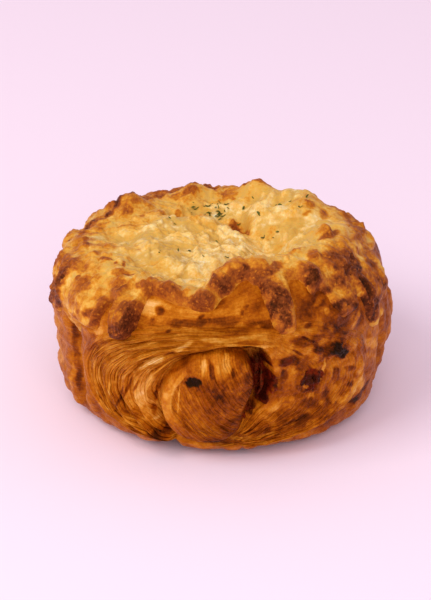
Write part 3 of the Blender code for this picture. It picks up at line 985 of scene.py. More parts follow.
@dataclass(frozen=True)
class MeltedCheese(FoodFinish):
    """Oven-melted cheese: creamy and soft inside, oily, with golden and brown blisters.

    Blotches of 7, 2.4 and 0.8 mm vary its brown, pools of oil with painted shade in the hollows are
    about
    5 mm wide, and the blisters on the browned places are 1 mm across, their paler crumbs partly painted
    highlights.
    """

    name: str = "oven_melted_cheese"
    roughness: float = 0.36
    ior: float = 1.46
    glow_depth: float = 1.2
    glow: float = 0.15
    scale: ToastScale = ToastScale(
        ("#f8edc6", "#eed088", "#e4b150", "#cd8522", "#a8591a", "#7f3c18", "#501e0a", "#220905")
    )
    grains: tuple[Grain, ...] = (
        Grain(150.0, 4.0, 0.28), Grain(420.0, 4.0, 0.28), Grain(1200.0, 2.0, 0.3),
    )
    # The colour of oil and of painted shade in the hollows between the lumps
    oil_and_shade_colour: str = "#ca9a3a"
    oil_and_shade_per_metre: float = 210.0
    oil_and_shade_most: float = 0.8
    blisters_per_metre: float = 950.0
    blister_paling_and_glint: float = -0.2
    seared_dulling: float = 0.24
    bump_depth: float = 0.35

    def make(self) -> Material:
        """Makes the material.

        Returns:
            The material.
        """
        material, tree, shader = self.start()
        add = partial(add_node, tree)
        place = add("TexCoord", {}, "Object")
        toast_and_shading, oil_and_shade = (
            add("Attribute", {}, "Fac", attribute_name=name) for name in ("toast_and_shading", "oil_and_shade")
        )
        for size, detail, browning in self.grains:
            pattern = {"Vector": place, "Scale": size, "Detail": detail, "Roughness": 0.62}
            noise = add("TexNoise", pattern)
            scaled = add("Math", {0: noise, 1: browning, 2: toast_and_shading}, operation="MULTIPLY_ADD")
            toast_and_shading = add("Math", {0: scaled, 1: browning * 0.5}, operation="SUBTRACT")
        blistered = {"Scale": self.blisters_per_metre, "Detail": 2.0, "Roughness": 0.5}
        pools = {"Scale": self.oil_and_shade_per_metre, "Detail": 3.0, "Roughness": 0.6}
        blister, oily = (add("TexNoise", {"Vector": place, **kind}) for kind in (blistered, pools))
        # Paler dots on the browned places: crumbs, partly painted highlights on the grain
        seared = add("MapRange", {"Value": toast_and_shading, "From Min": 0.5, "From Max": 0.7})
        dots = add("MapRange", {"Value": blister, "From Min": 0.56, "From Max": 0.7})
        crumbs_and_glints = add("Math", {0: dots, 1: seared}, operation="MULTIPLY")
        toast_and_shading = add("Math", {0: crumbs_and_glints, 1: self.blister_paling_and_glint, 2: toast_and_shading}, operation="MULTIPLY_ADD")
        # Oil and painted shade in the hollows between the lumps, on the pale cheese alone
        wet = add("Math", {0: oil_and_shade, 1: 0.22, 2: oily}, operation="MULTIPLY_ADD")
        oil_and_shade_range = {"Value": wet, "From Min": 0.52, "From Max": 0.7, "To Max": self.oil_and_shade_most}
        pale = add("MapRange", {"Value": toast_and_shading, "From Min": 0.42, "From Max": 0.2})
        share = add("Math", {0: add("MapRange", oil_and_shade_range), 1: pale}, operation="MULTIPLY")
        mixed = {0: share, 6: self.scale.add(tree, toast_and_shading), 7: linear(self.oil_and_shade_colour)}
        colour = add("Mix", mixed, 2, data_type="RGBA")
        dullest = self.roughness + self.seared_dulling
        gloss = add("MapRange", {"Value": toast_and_shading, "To Min": self.roughness, "To Max": dullest})
        self.connect(shader, colour, blister, 0.6, self.bump_depth, gloss)
        return material


@dataclass(frozen=True)
class SpeckledFinish(FoodFinish):
    """A finish of two colours that mix in specks, such as cooked tomato or dried leaf."""

    dark: str = "#2a0402"
    light: str = "#7a1206"
    speck: float = 1.2
    bump_depth: float = 0.3

    def make(self) -> Material:
        """Makes the material.

        Returns:
            The material.
        """
        material, tree, shader = self.start()
        place = add_node(tree, "TexCoord", {}, "Object")
        size = 1 / (self.speck * METRES)
        pattern = {"Vector": place, "Scale": size, "Detail": 4.0, "Roughness": 0.6}
        noise = add_node(tree, "TexNoise", pattern)
        share = add_node(tree, "MapRange", {"Value": noise, "From Min": 0.35, "From Max": 0.65})
        mixed = {0: share, 6: linear(self.dark), 7: linear(self.light)}
        colour = add_node(tree, "Mix", mixed, 2, data_type="RGBA")
        self.connect(shader, colour, noise, 0.6, self.bump_depth)
        return material


def select_only(piece: Piece) -> None:
    """Deselects everything, then selects one piece and makes it active.

    Args:
        piece: The piece.
    """
    bpy.ops.object.select_all(action="DESELECT")
    piece.select_set(True)
    bpy.context.view_layer.objects.active = piece


def wrapped_grid(name: str, columns: int, rows: int, wrap: Wrap) -> Piece:
    """Adds a grid, wraps it round the food, and closes its seam and poles.

    Args:
        name: The piece's name.
        columns: Faces round the piece.
        rows: Faces from the first pole to the last.
        wrap: Turns the grid's two shares, 0 to 1, into points in mm and named values per point.

    Returns:
        The closed mesh object.
    """
    bpy.ops.object.select_all(action="DESELECT")
    bpy.ops.mesh.primitive_grid_add(x_subdivisions=columns, y_subdivisions=rows, size=1.0)
    piece = bpy.context.object
    piece.name = name
    mesh = piece.data
    mesh.name = name
    flat = np.empty(len(mesh.vertices) * 3, np.float32)
    mesh.vertices.foreach_get("co", flat)
    flat = flat.reshape(-1, 3).astype(float) + 0.5
    points, values = wrap(np.clip(flat[:, 0], 0, 1), np.clip(flat[:, 1], 0, 1))
    mesh.vertices.foreach_set("co", (points * METRES).astype(np.float32).ravel())
    for key, value in values.items():
        mesh.attributes.new(key, "FLOAT", "POINT").data.foreach_set("value", value.astype(np.float32))
    while mesh.uv_layers:
        mesh.uv_layers.remove(mesh.uv_layers[0])
    mesh.update()
    select_only(piece)
    bpy.ops.object.mode_set(mode="EDIT")
    bpy.ops.mesh.select_all(action="SELECT")
    bpy.ops.mesh.remove_doubles(threshold=1e-6)
    bpy.ops.mesh.normals_make_consistent(inside=False)
    bpy.ops.object.mode_set(mode="OBJECT")
    bpy.ops.object.shade_smooth()
    return piece


def dress(piece: Piece, node: str, material: Material) -> Piece:
    """Gives a piece its material and its body, and hides the CAD node that it stands for.

    Args:
        piece: The finished mesh object.
        node: The CAD node, which is also the record's material slot.
        material: The piece's material.

    Returns:
        The piece.
    """
    piece.data.materials.clear()
    piece.data.materials.append(material)
    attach(piece, ROOT_BODY)
    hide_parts(node)
    LOG.info("%s: %d faces", piece.name, len(piece.data.polygons))
    return piece


@dataclass
class DoughPainter:
    """Where the dough is pale, browned, stained with tomato or burnt, and where light and shade are
    painted on it.
    """

    shape: BunShape
    base_toast: float = 0.5
    pale_limit: float = 0.3
    brown_limit: float = 0.74
    over_limit: float = 0.6
    toasted_lit_and_shaded: tuple[Stain, ...] = rows_of(
        Stain,
        # The band over the roll; the pale patches at its upper left, from -31 to -20 degrees, are
        # painted highlights
        (-30.5, 57.5, 1.5, 1.2, -57, -0.4), (-27, 58, 3.5, 1, 7, -0.22), (-21, 58.5, 3.6, 1, 2, -0.2),
        (-10, 55.5, 3.9, 1.9, 3, -0.04), (-11.5, 58, 4.7, 1, 5, -0.1), (-11.5, 54, 9.6, 1.5, 7, 0.2),
        (0.5, 54.5, 6.4, 1.4, -5, 0.26), (14.5, 52.5, 6.4, 0.9, -9, 0.2),
        (8.5, 58.5, 5, 2.3, -13, -0.06), (1.5, 57, 7.4, 1.1, -6, -0.12), (-7, 52, 12.3, 0.6, 4, -0.04),
        (4, 52, 12.3, 0.8, -3, 0.16), (13, 56, 2.7, 1.7, -4, 0.08), (-1, 59.5, 3, 1, 20, 0.12),
        (-23, 56.8, 1.9, 1.7, -57, 0.6), (-24.5, 54, 0.9, 0.7, -67, 0.3), (-17.5, 51, 1, 0.5, 22, 0.35),
        (-7, 56.5, 1, 0.5, 19, 0.3), (8, 56, 0.7, 0.7, -86, 0.26), (9.5, 57, 1, 0.5, 4, 0.22),
        (1.5, 49.5, 8.8, 0.7, 2, -0.2), (9.5, 47.5, 7.8, 0.5, -7, -0.26), (-2, 50.5, 8.9, 0.3, 0, 0.1),
        (-5, 48.5, 3.6, 0.5, -14, 0.1), (-12, 47, 2.6, 0.7, 36, -0.42), (-26, 57, 3.8, 2.6, 0, -0.5),
        (10, 47.5, 4, 1.6, -3, 0.12), (2, 53.5, 8, 2, -3, -0.08), (-11.5, 54, 5, 1.6, 5, 0.12),
        # The fan at the left: pale and dark leaning stripes are painted highlights and painted shade on
        # its folds, the groove by the roll and the notch
        (-43.5, 41, 6.6, 3, 27, 0.04), (-34.5, 43, 4.6, 1.2, 32, -0.06),
        (-44.5, 45, 2.4, 1.4, 20, -0.26), (-43.5, 43, 1.4, 1.1, 39, -0.12),
        (-47.5, 41.5, 5, 1.9, 18, 0.05), (-63.5, 23, 9.8, 1.2, 80, -0.02), (-64, 30, 3.9, 0.9, 79, -0.1),
        (-65.5, 22.5, 7.1, 0.9, 71, -0.16), (-21.5, 41.5, 3.2, 0.8, 22, -0.4),
        (-31, 35.5, 3.8, 0.4, 48, -0.2), (-25, 39, 2.2, 0.4, 35, -0.25),
        (-25.5, 32, 5.8, 1.2, 56, -0.25), (-27.5, 27, 2.7, 2.3, 75, -0.3),
        (-32, 29.5, 4.7, 0.4, 69, 0.3), (-35, 25.5, 5.8, 0.5, 67, 0.3), (-28, 32, 3.1, 0.4, 61, 0.25),
        (-26, 37.5, 2.9, 0.4, 47, 0.2), (-16.5, 44.5, 2.1, 0.4, 22, 0.3),
        (-21.5, 31.5, 3.3, 0.8, 66, 0.25), (-23, 27.5, 2.4, 0.5, 86, 0.25),
        (-23.5, 23.5, 1.9, 0.4, -82, 0.25), (-38.5, 29, 2.9, 0.4, 84, -0.25),
        (-45, 22.5, 2.8, 0.6, -87, -0.2), (-29.5, 21.5, 3.1, 2.2, 41, 0.14),
        (-28, 16.5, 5.5, 1.7, 16, 0.08), (-34, 17.5, 2, 1.1, -6, -0.1), (-23, 20, 1.1, 0.5, -5, -0.3),
        (-22, 15.5, 1.8, 1.2, 71, 0.25), (-16.5, 29, 8.2, 1.6, 80, -0.12), (-27, 36, 3, 4, 0, -0.1),
        (-37.5, 26, 4, 4.5, 0, 0.1), (-21.5, 15, 4.4, 2.4, -20, 0.42),
        # The inner roll, with painted shade in the groove along its left edge
        (7, 45, 7, 0.3, -15, -0.1), (-8.5, 44.5, 4.4, 0.3, 20, 0.16), (-14, 39.5, 4.6, 0.5, 39, 0.12),
        (-5.5, 41.5, 2.5, 1, -89, -0.42), (-2.5, 40.5, 2.5, 1, -85, 0.36),
        (-3.5, 42.5, 1.6, 0.4, -89, 0.1), (2, 42.5, 3, 1.7, -90, -0.34),
        (6.5, 42.5, 2.2, 1.8, -54, 0.06), (4, 40, 1.7, 0.6, 90, 0.16), (8.5, 40.5, 1.7, 1.2, -17, -0.1),
        (6.5, 38, 2.8, 3, -62, 0.12), (10, 34, 5.3, 2.3, -71, 0.06), (-13, 36.5, 3.4, 0.8, 59, -0.2),
        (-13.5, 29.5, 5.7, 0.3, 85, -0.25), (-4.5, 33, 2.9, 2.6, 27, 0.02),
        (-1.5, 34.5, 3.2, 1.1, 90, 0.1), (3.5, 27.5, 3.2, 2, -77, 0.06), (2.5, 34, 4.6, 1.1, -90, -0.06),
        (-8, 27.5, 3.1, 2.3, 73, -0.04), (3.5, 26.5, 3, 3, 0, -0.1), (15, 24, 3.1, 2.4, -13, -0.06),
        (4.5, 28, 5, 4.5, 0, -0.16), (6, 36, 3.6, 3.4, 0, -0.18), (-2, 35, 3, 2.5, 0, -0.12),
        # The right half and the foot; the pale streaks near 54 and 62 degrees are painted highlights on
        # the ridges
        (22, 29, 4.6, 2.9, -75, -0.05), (18.5, 24.5, 2.1, 1.4, -26, -0.05), (24, 28, 1.5, 1.2, 8, -0.1),
        (31.5, 27, 2, 1, -25, -0.2), (9, 18.5, 2.5, 1.7, -2, -0.02), (23, 41, 2.9, 2, -9, 0.34),
        (21.5, 36.5, 1.8, 1.3, -72, 0.4), (26, 43, 2.9, 0.4, -38, 0.3),
        (25.5, 36.5, 1.4, 0.7, -19, -0.1), (18.5, 38, 4.4, 0.9, -86, -0.05),
        (27.5, 30.5, 2.4, 0.9, -41, 0.3), (32.5, 24, 3.6, 2, -26, 0.2), (36, 34.5, 3.9, 0.5, 78, -0.4),
        (38, 24.5, 3, 1.9, -53, 0.24), (41.5, 32, 3, 1.5, -77, 0.3), (47.5, 32, 2.1, 1, -26, 0.26),
        (48.5, 26, 1.7, 1, -30, 0.24), (46, 30, 4.1, 2.7, -58, -0.04), (52, 31.5, 3.9, 1.4, -76, -0.2),
        (54, 23, 4.6, 3.6, -15, -0.26), (49.5, 21.5, 3.2, 1.9, 10, -0.15), (59, 18, 4.6, 1.4, 16, 0.45),
        (53.5, 17, 2.2, 1.1, -4, 0.4), (44, 20, 4.9, 2.8, -33, -0.14), (62, 30, 7.6, 0.9, -29, -0.12),
        (79.5, 23, 2.5, 1.2, -67, 0.1), (27.5, 59.5, 3.5, 0.9, 31, -0.26),
        (26, 54.5, 3.5, 1.1, 50, -0.2), (33, 53.5, 4.2, 2.6, 6, 0.16), (38, 54.5, 3.2, 0.7, 12, -0.3),
        (40, 52, 1.3, 0.9, 15, -0.3), (31, 50, 1.4, 0.7, 5, 0.36), (40, 48, 7.4, 1, -16, 0.1),
        (45, 44.5, 1.4, 0.5, -18, 0.3), (25.5, 49, 1.2, 0.9, 73, -0.12), (32.5, 48, 5.5, 0.5, -19, -0.1),
        (49.5, 46, 3.7, 2.3, -30, -0.04), (53.5, 46, 3.4, 1, 28, -0.3),
        (61.5, 34.5, 6.4, 1.5, -28, -0.25), (10, 17, 9.3, 1.2, 5, 0.1), (28, 19, 6.6, 1.5, 5, 0.14),
        (1.5, 13.5, 6.4, 1.2, -4, 0.25), (24.5, 18, 4.5, 0.4, 8, -0.2), (14, 15, 4.4, 0.5, 5, -0.15),
        (46, 59, 3.6, 0.4, 27, -0.3), (40.5, 57, 2.7, 0.3, 9, -0.25), (36, 52, 4.5, 5, 0, -0.1),
        (27.5, 46, 3.4, 1.7, -10, 0.26), (20.5, 26.5, 3.5, 2.5, -40, -0.08),
        (17.5, 24.5, 5.5, 3, 25, -0.12), (39.5, 40.5, 6.5, 3.4, -15, 0.16), (36, 46.5, 5, 2.4, -8, 0.2),
        (38, 55.5, 3.6, 2.6, 0, 0.3), (54.5, 45.5, 3.4, 3, 0, 0.24), (22, 33.5, 2.4, 4, 0, 0.1),
        # Broad changes of tone, with a dark line of painted shade in the furrow at -64 degrees and a
        # painted highlight on the roll's top
        (26, 28, 13, 12, 0, 0.13), (46, 50, 9, 5, 0, 0.26), (34, 16, 12, 5, 0, 0.1),
        (-64, 30, 0.9, 15, 0, 0.26), (-38, 24, 5, 8, 0, 0.05), (-26, 28, 7, 9, 0, -0.12),
        (-80, 30, 9, 13, 0, -0.1), (4, 30, 7, 9, 0, 0.05), (-6, 30, 6, 6, 0, 0.12),
        (1.5, 42, 7, 3.5, 0, -0.1),
    )
    sauce_and_shadow_stains: tuple[Stain, ...] = rows_of(
        Stain,
        (14.5, 39, 4.4, 2.2, 87, 0.8), (15.5, 32, 4.8, 1.6, 82, 0.75), (17, 35.5, 3.7, 0.9, 85, 0.5),
        (17.5, 32.5, 2.6, 1.1, 81, 0.5), (13.5, 27.5, 2.7, 1.5, 35, 0.8), (10.5, 24, 2.7, 1.8, -56, 0.8),
        (8, 23, 2.3, 0.7, -61, 0.9), (22.5, 40.5, 2.6, 1.7, -7, 0.5), (22, 36, 1.5, 0.9, -75, 0.4),
        (29, 47, 2.1, 0.8, -30, 0.9), (33, 44, 1.6, 0.9, -41, 0.7), (26.5, 30.5, 2, 0.6, -41, 0.4),
        # The row under the lip at 11.5 degrees is partly tomato and partly painted shadow under the lip
        (11.5, 45.5, 4, 1, -4, 0.9), (19.5, 34, 4.4, 1.5, 85, 0.6), (31.3, 32.8, 3.9, 3.5, -38, 1.7),
    )
    burnt: tuple[Stain, ...] = rows_of(
        Stain,
        (-9, 36.3, 2.2, 1.5, 21, 1), (31.3, 33, 2.8, 2.2, -38, 0.62), (41, 40, 4, 2.2, -30, 0.9),
        (34.5, 42, 2.7, 1.6, -27, 0.5), (14, 40, 2.6, 2.2, 17, 0.6), (15.5, 31, 3.6, 0.8, 74, 0.66),
        # The row at -20 degrees, low in the notch at the foot, is painted shade
        (11.5, 25.5, 1.9, 1.4, -62, 0.5), (-20, 5, 2, 4.5, 0, 0.8),
    )

    def paint(self, angle: Floats, climb: Floats, points: Floats) -> dict[str, Floats]:
        """Works out the colour values.

        Args:
            angle: Angles round the bun, in degrees.
            climb: Climbs in mm.
            points: The places in mm.

        Returns:
            Named values for each point.
        """
        ragged = 0.42 * cloud(points, 2.4, 21)
        away = ease(66, 90, np.abs(angle))
        toast_and_shading = self.base_toast + (0.05 + 0.06 * away) * cloud(points, 11.0, 31)
        toast_and_shading = toast_and_shading + 0.05 * cloud(points, 3.5, 35)
        toast_and_shading = toast_and_shading + self.shape.stained(self.toasted_lit_and_shaded, angle, climb, 0.8 * ragged)
        # Darker near the foot, partly browning and partly painted shade, and darker towards the right,
        # as painted shade
        toast_and_shading = toast_and_shading + 0.1 * (1 - ease(2, 12, climb)) + 0.05 * ease(20, 60, angle)
        too_brown = np.clip(toast_and_shading - self.brown_limit, 0, None)
        too_pale = np.clip(self.pale_limit - toast_and_shading, 0, None)
        toast_and_shading = toast_and_shading - self.over_limit * too_brown + self.over_limit * too_pale
        return {
            "toast_and_shading": toast_and_shading,
            "sauce": np.clip(self.shape.stained(self.sauce_and_shadow_stains, angle, climb, ragged), 0, 1),
            "char": np.clip(self.shape.stained(self.burnt, angle, climb, ragged), 0, 1),
        }


@dataclass
class DoughWall:
    """The dough's wall, foot, rim and the bed under the cheese, without the roll's two ends."""

    shape: BunShape
    painter: DoughPainter
    columns: int = 600
    rows: int = 155
    foot_rows: float = 0.04
    wall_rows: float = 0.95
    front_crowding: float = 0.3
    left_lobe: Sector = Sector(-76, 15)
    smooth_band: Sector = Sector(-4, 36)
    band_climbs: tuple[float, float] = (46.0, 53.0)

    def smooth(self, angle: Floats, climb: Floats) -> Floats:
        """Returns how much of the smooth band over the roll is at each place."""
        return hump(angle, *self.smooth_band) * ease(*self.band_climbs, climb)

    def relief(self, angle: Floats, climb: Floats, base: Floats) -> tuple[Floats, Floats, Floats]:
        """Works out the crust's small forms.

        Args:
            angle: Angles round the bun, in degrees.
            climb: Climbs in mm.
            base: Places on the plain bun, in mm.

        Returns:
            Heights in mm, how much the layers show, and how each sheet is browned.
        """
        lobe, band = hump(angle, *self.left_lobe), self.smooth(angle, climb)
        warp = 1.2 * lattice_noise(base, 12.0, 41) + 0.3 * lattice_noise(base, 3.0, 42)
        wide, own_wide = sheets(climb + warp, base, 2.3, 43)
        thin, own_thin = sheets(climb + warp, base, 1.0, 46)
        layers = (wide * 0.5 + thin * 0.2) * (0.25 + 0.3 * lobe)
        layers = layers * (1 - band) + (wide * 0.16 + thin * 0.1) * band
        rough = cloud(base, 4.5, 49, 4) * 0.5 + np.abs(lattice_noise(base, 5.5, 52)) * 1.0
        height = (layers + rough * (1 - 0.9 * band) * (1 - 0.4 * lobe) - 0.5) * ease(1, 12, climb)
        return height, 0.18 + 0.1 * lobe + 0.1 * band, 0.4 * own_wide + 0.5 * own_thin

    def place(self, around: Floats, up: Floats) -> tuple[Floats, dict[str, Floats]]:
        """Places the grid of the wall.

        Args:
            around: Shares round the bun.
            up: Shares from the middle of the underside to the middle of the bowl.

        Returns:
            Points in mm and their colour values.
        """
        shape = self.shape
        angle = np.degrees(2 * math.pi * around - self.front_crowding * np.sin(2 * math.pi * around))
        rows = (self.foot_rows, self.wall_rows, 1.0)
        climb = np.interp(up, rows, (0.0, shape.rim_climb + 6, shape.last_climb()))
        in_bowl = ease(shape.rim_climb - 4, shape.rim_climb + 8, climb)
        height = shape.wall_relief(angle, climb) + shape.cheese_relief(angle, climb) * in_bowl
        height = height - shape.cheese_thickness(angle, climb)
        base = shape.point(angle, climb)
        small, flaky, own = self.relief(angle, climb, base)
        for end in RollEnd:
            small = small * ease(0.9, 1.0, shape.swirl_share(angle, climb, end))
        points = shape.raised(angle, climb, height + small - shape.sunk(angle, climb))
        points[:, 2] = np.maximum(points[:, 2], 0.0)
        # The flat underside
        under = np.clip(up / self.foot_rows, 0, 1)
        flat = under < 1
        points[flat] = points[flat] * np.stack([under, under, 0 * under], axis=1)[flat]
        values = self.painter.paint(turn(angle, 0), climb, points)
        # Paler where the relief stands up and darker in its hollows: painted shade
        values["toast_and_shading"] = values["toast_and_shading"] + 0.15 * own * flaky - 0.1 * small
        values["layer"] = climb
        values["flaky"] = flaky
        values["rough"] = 0.35 - 0.3 * self.smooth(angle, climb)
        return points, values

    def build(self) -> Piece:
        """Returns the wall piece."""
        piece = wrapped_grid("dough_wall", self.columns, self.rows, self.place)
        return dress(piece, "pastry", BakedDough().make())


@dataclass
class OuterTurn:
    """The outer turn of a cut end: the fan of layers, the lip, the crevice's far wall and the foot."""

    shape: BunShape
    painter: DoughPainter
    end: RollEnd
    spokes: int
    rings: int
    back_depth: float = 9.0
    fan_span: float = 32.0
    side_crowding: float = 0.2
    edge_row: float = 0.012
    roll_row: float = 0.94
    pitches: tuple[float, ...] = (3.6, 1.7, 0.8)
    feather_pitch: float = 4.8
    feather_height: float = 1.6
    fan: Sector = Sector(185, 68)
    fan_foot: Sector = Sector(285, 58)
    fan_top: Sector = Sector(95, 45)
    fan_right: Sector = Sector(0, 60)
    feathered: Sector = Sector(205, 48)
    pocket: Sector = Sector(196, 26)
    lip_pull: float = 2.0
    pulled: Sector = Sector(46, 16)
    pushed: Sector = Sector(102, 26)
    rough_right: Sector = Sector(8, 52)
    puff_height: float = 0.9
    shoulder: Sector = Sector(36, 34)
    shoulder_height: float = 1.2
    tucked: Sector = Sector(292, 34)
    tuck_depth: float = 1.3
    sauce_edge: Sector = Sector(14, 44)
    sauce_height: float = 1.6
    char_height: float = 0.9
    roll_gap: float = 1.6

    def layers(
        self, base: Floats, share: Floats, degrees: Floats, crowding: Floats
    ) -> tuple[Floats, Floats, Floats, Floats]:
        """Works out the sheets of the fan.

        Args:
            base: Places on the plain bun, in mm.
            share: Shares of the way from the inner roll to the swirl's edge.
            degrees: Angles round the roll's middle.
            crowding: True mm for one mm of the layer scale.

        Returns:
            Heights in mm, each sheet's browning with painted highlight on its edge and painted shade in
            its gap, the place across the layers, and how much they show.
        """
        ripples = 0.22 * lattice_noise(base, 3.4, 62) + 0.08 * lattice_noise(base, 1.4, 63)
        layer = share * self.fan_span + (1.5 * lattice_noise(base, 11.0, 61) + ripples / crowding)
        # Sheets of three pitches, each shown where it is neither too fine nor too coarse
        height, brown = np.zeros_like(share), np.zeros_like(share)
        for count, pitch in enumerate(self.pitches):
            true_pitch = pitch * crowding
            shown = plateau(true_pitch, (0.3, 0.6), (2.2, 3.6))
            edges, own = sheets(layer, base, pitch, 71 + 3 * count, 6.5 - 1.6 * count)
            height = height + shown * edges * np.clip(0.36 * true_pitch, 0.1, 0.54)
            # Each sheet's own tone, paler on its raised edge and darker in its gap: painted highlight
            # and painted shade
            brown = brown + shown * (0.35 * own - 0.5 * (edges - 0.45))
        # They show most at the left and the foot, and not on the skin
        fan, lower = hump(degrees, *self.fan), hump(degrees, *self.fan_foot)
        upper = hump(degrees, *self.fan_top)
        right = hump(degrees, *self.fan_right) * ease(0.2, 0.4, share)
        flaky = np.clip(1.1 * fan + 0.9 * lower + 0.5 * upper + 0.26 * right, 0, 1)
        skin = fan * ease(0.74, 0.84, share + 0.03 * lattice_noise(base, 8.0, 64))
        # A few thick, loose sheets beside the roll
        edges, own = sheets(layer, base, self.feather_pitch, 95, 9.0)
        feather = hump(degrees, *self.feathered) * bell(share - 0.36, 0.28)
        height = height + self.feather_height * feather * edges
        # Paler raised edges and darker gaps on the loose sheets: painted highlight and painted shade
        brown = brown + feather * (0.5 * own - 1.0 * (edges - 0.45))
        pocket = hump(degrees, *self.pocket) * bell(share - 0.2, 0.13)
        return height, brown, layer, flaky * (1 - 0.85 * skin) * (1 - 0.6 * pocket)

    def place(self, around: Floats, inwards: Floats) -> tuple[Floats, dict[str, Floats]]:
        """Places the grid of the outer turn.

        Args:
            around: Shares round the roll's middle.
            inwards: Shares from the buried back, over the edge, to below the inner roll.

        Returns:
            Points in mm and their colour values.
        """
        shape, hand = self.shape, self.end.hand
        spoke = (2 * math.pi * around - self.side_crowding * np.sin(4 * math.pi * around)) * hand
        outer, inner = shape.outer_reach(spoke), shape.inner_reach(spoke)
        degrees = np.degrees(spoke)
        reach = np.interp(inwards, (self.edge_row, self.roll_row, 1.0), (1.0, 0.0, -1.0))
        reach = np.where(reach > 0, inner + (outer - inner) * reach, inner * (1 + reach))
        buried = inwards < self.edge_row
        reach = np.where(buried, outer * 0.97 * inwards / self.edge_row, reach)
        share = np.clip((reach - inner) / (outer - inner), 0, 1)
        # The lip comes down over the roll and gives way at its upper right
        pull = self.lip_pull * (hump(degrees, *self.pulled) - hump(degrees, *self.pushed))
        drawn = reach + pull * (1 - ease(0.25, 1.0, share)) * np.clip(reach / inner, 0, 1)
        angle = self.end.value + hand * (shape.roll_offset + drawn * np.cos(spoke)) / shape.arc
        climb = shape.roll_climb + drawn * np.sin(spoke)
        base = shape.point(angle, climb)
        crowding = (outer - inner) / self.fan_span
        layering, brown, layer, flaky = self.layers(base, share, degrees, crowding)
        wobble = 4 * share * (1 - share) * 0.9 * lattice_noise(base, 9.0, 67)
        height = shape.swirl_relief(np.maximum(reach + wobble, inner + 0.001), spoke)
        # Sheets, crumb, puffs at the right, a raised shoulder and a tucked foot
        right = hump(degrees, *self.rough_right) * ease(0.08, 0.25, share)
        puffs = np.abs(lattice_noise(base, 4.6, 81)) + 0.5 * np.abs(lattice_noise(base, 2.2, 82))
        rough = cloud(base, 3.6, 84, 4)
        height = height + (layering - 0.25) * flaky + rough * (0.12 + 0.26 * right)
        height = height + self.puff_height * right * (puffs - 0.4) * ease(6, 14, climb)
        height = height + self.shoulder_height * hump(degrees, *self.shoulder) * ease(0.9, 1.0, share)
        height = height - self.tuck_depth * hump(degrees, *self.tucked) * (1 - ease(5, 15, climb))
        sauced_lumps = np.abs(lattice_noise(base, 2.4, 86)) + 0.4 * np.abs(lattice_noise(base, 1.1, 87))
        height = height - self.roll_gap * ease(0, 3, inner - reach)
        # Tomato along the crevice, and burnt spots at the front end alone
        values = self.painter.paint(turn(angle, self.end.value) * hand, climb, base)
        wet = hump(degrees, *self.sauce_edge) * (1 - ease(2.6, 5.6, reach - inner + 0.8 * rough))
        values["sauce"] = np.maximum(values["sauce"], wet)
        values["char"] = values["char"] * (self.end is RollEnd.FRONT)
        blisters = 0.5 + 1.4 * np.abs(lattice_noise(base, 1.6, 88))
        height = height + self.char_height * values["char"] * blisters
        height = height + self.sauce_height * values["sauce"] * (sauced_lumps - 0.3)
        height = np.where(buried, -self.back_depth - 1 + 3 * inwards / self.edge_row, height)
        points = shape.raised(angle, climb, height)
        points[:, 2] = np.maximum(points[:, 2], 0.1)
        values["toast_and_shading"] = values["toast_and_shading"] + 0.16 * brown * flaky
        # Paler on the puffs and darker in the creases between them: painted shade
        values["toast_and_shading"] = values["toast_and_shading"] + 0.07 * right * rough - 0.14 * right * (puffs - 0.35)
        values["layer"] = layer
        values["flaky"] = flaky
        values["rough"] = 0.15 + 0.35 * right
        return points, values

    def build(self) -> Piece:
        """Builds the outer turn.

        Returns:
            The piece.
        """
        name = f"outer_turn_{self.end.name.lower()}"
        piece = wrapped_grid(name, self.spokes, self.rings, self.place)
        return dress(piece, "pastry", BakedDough().make())


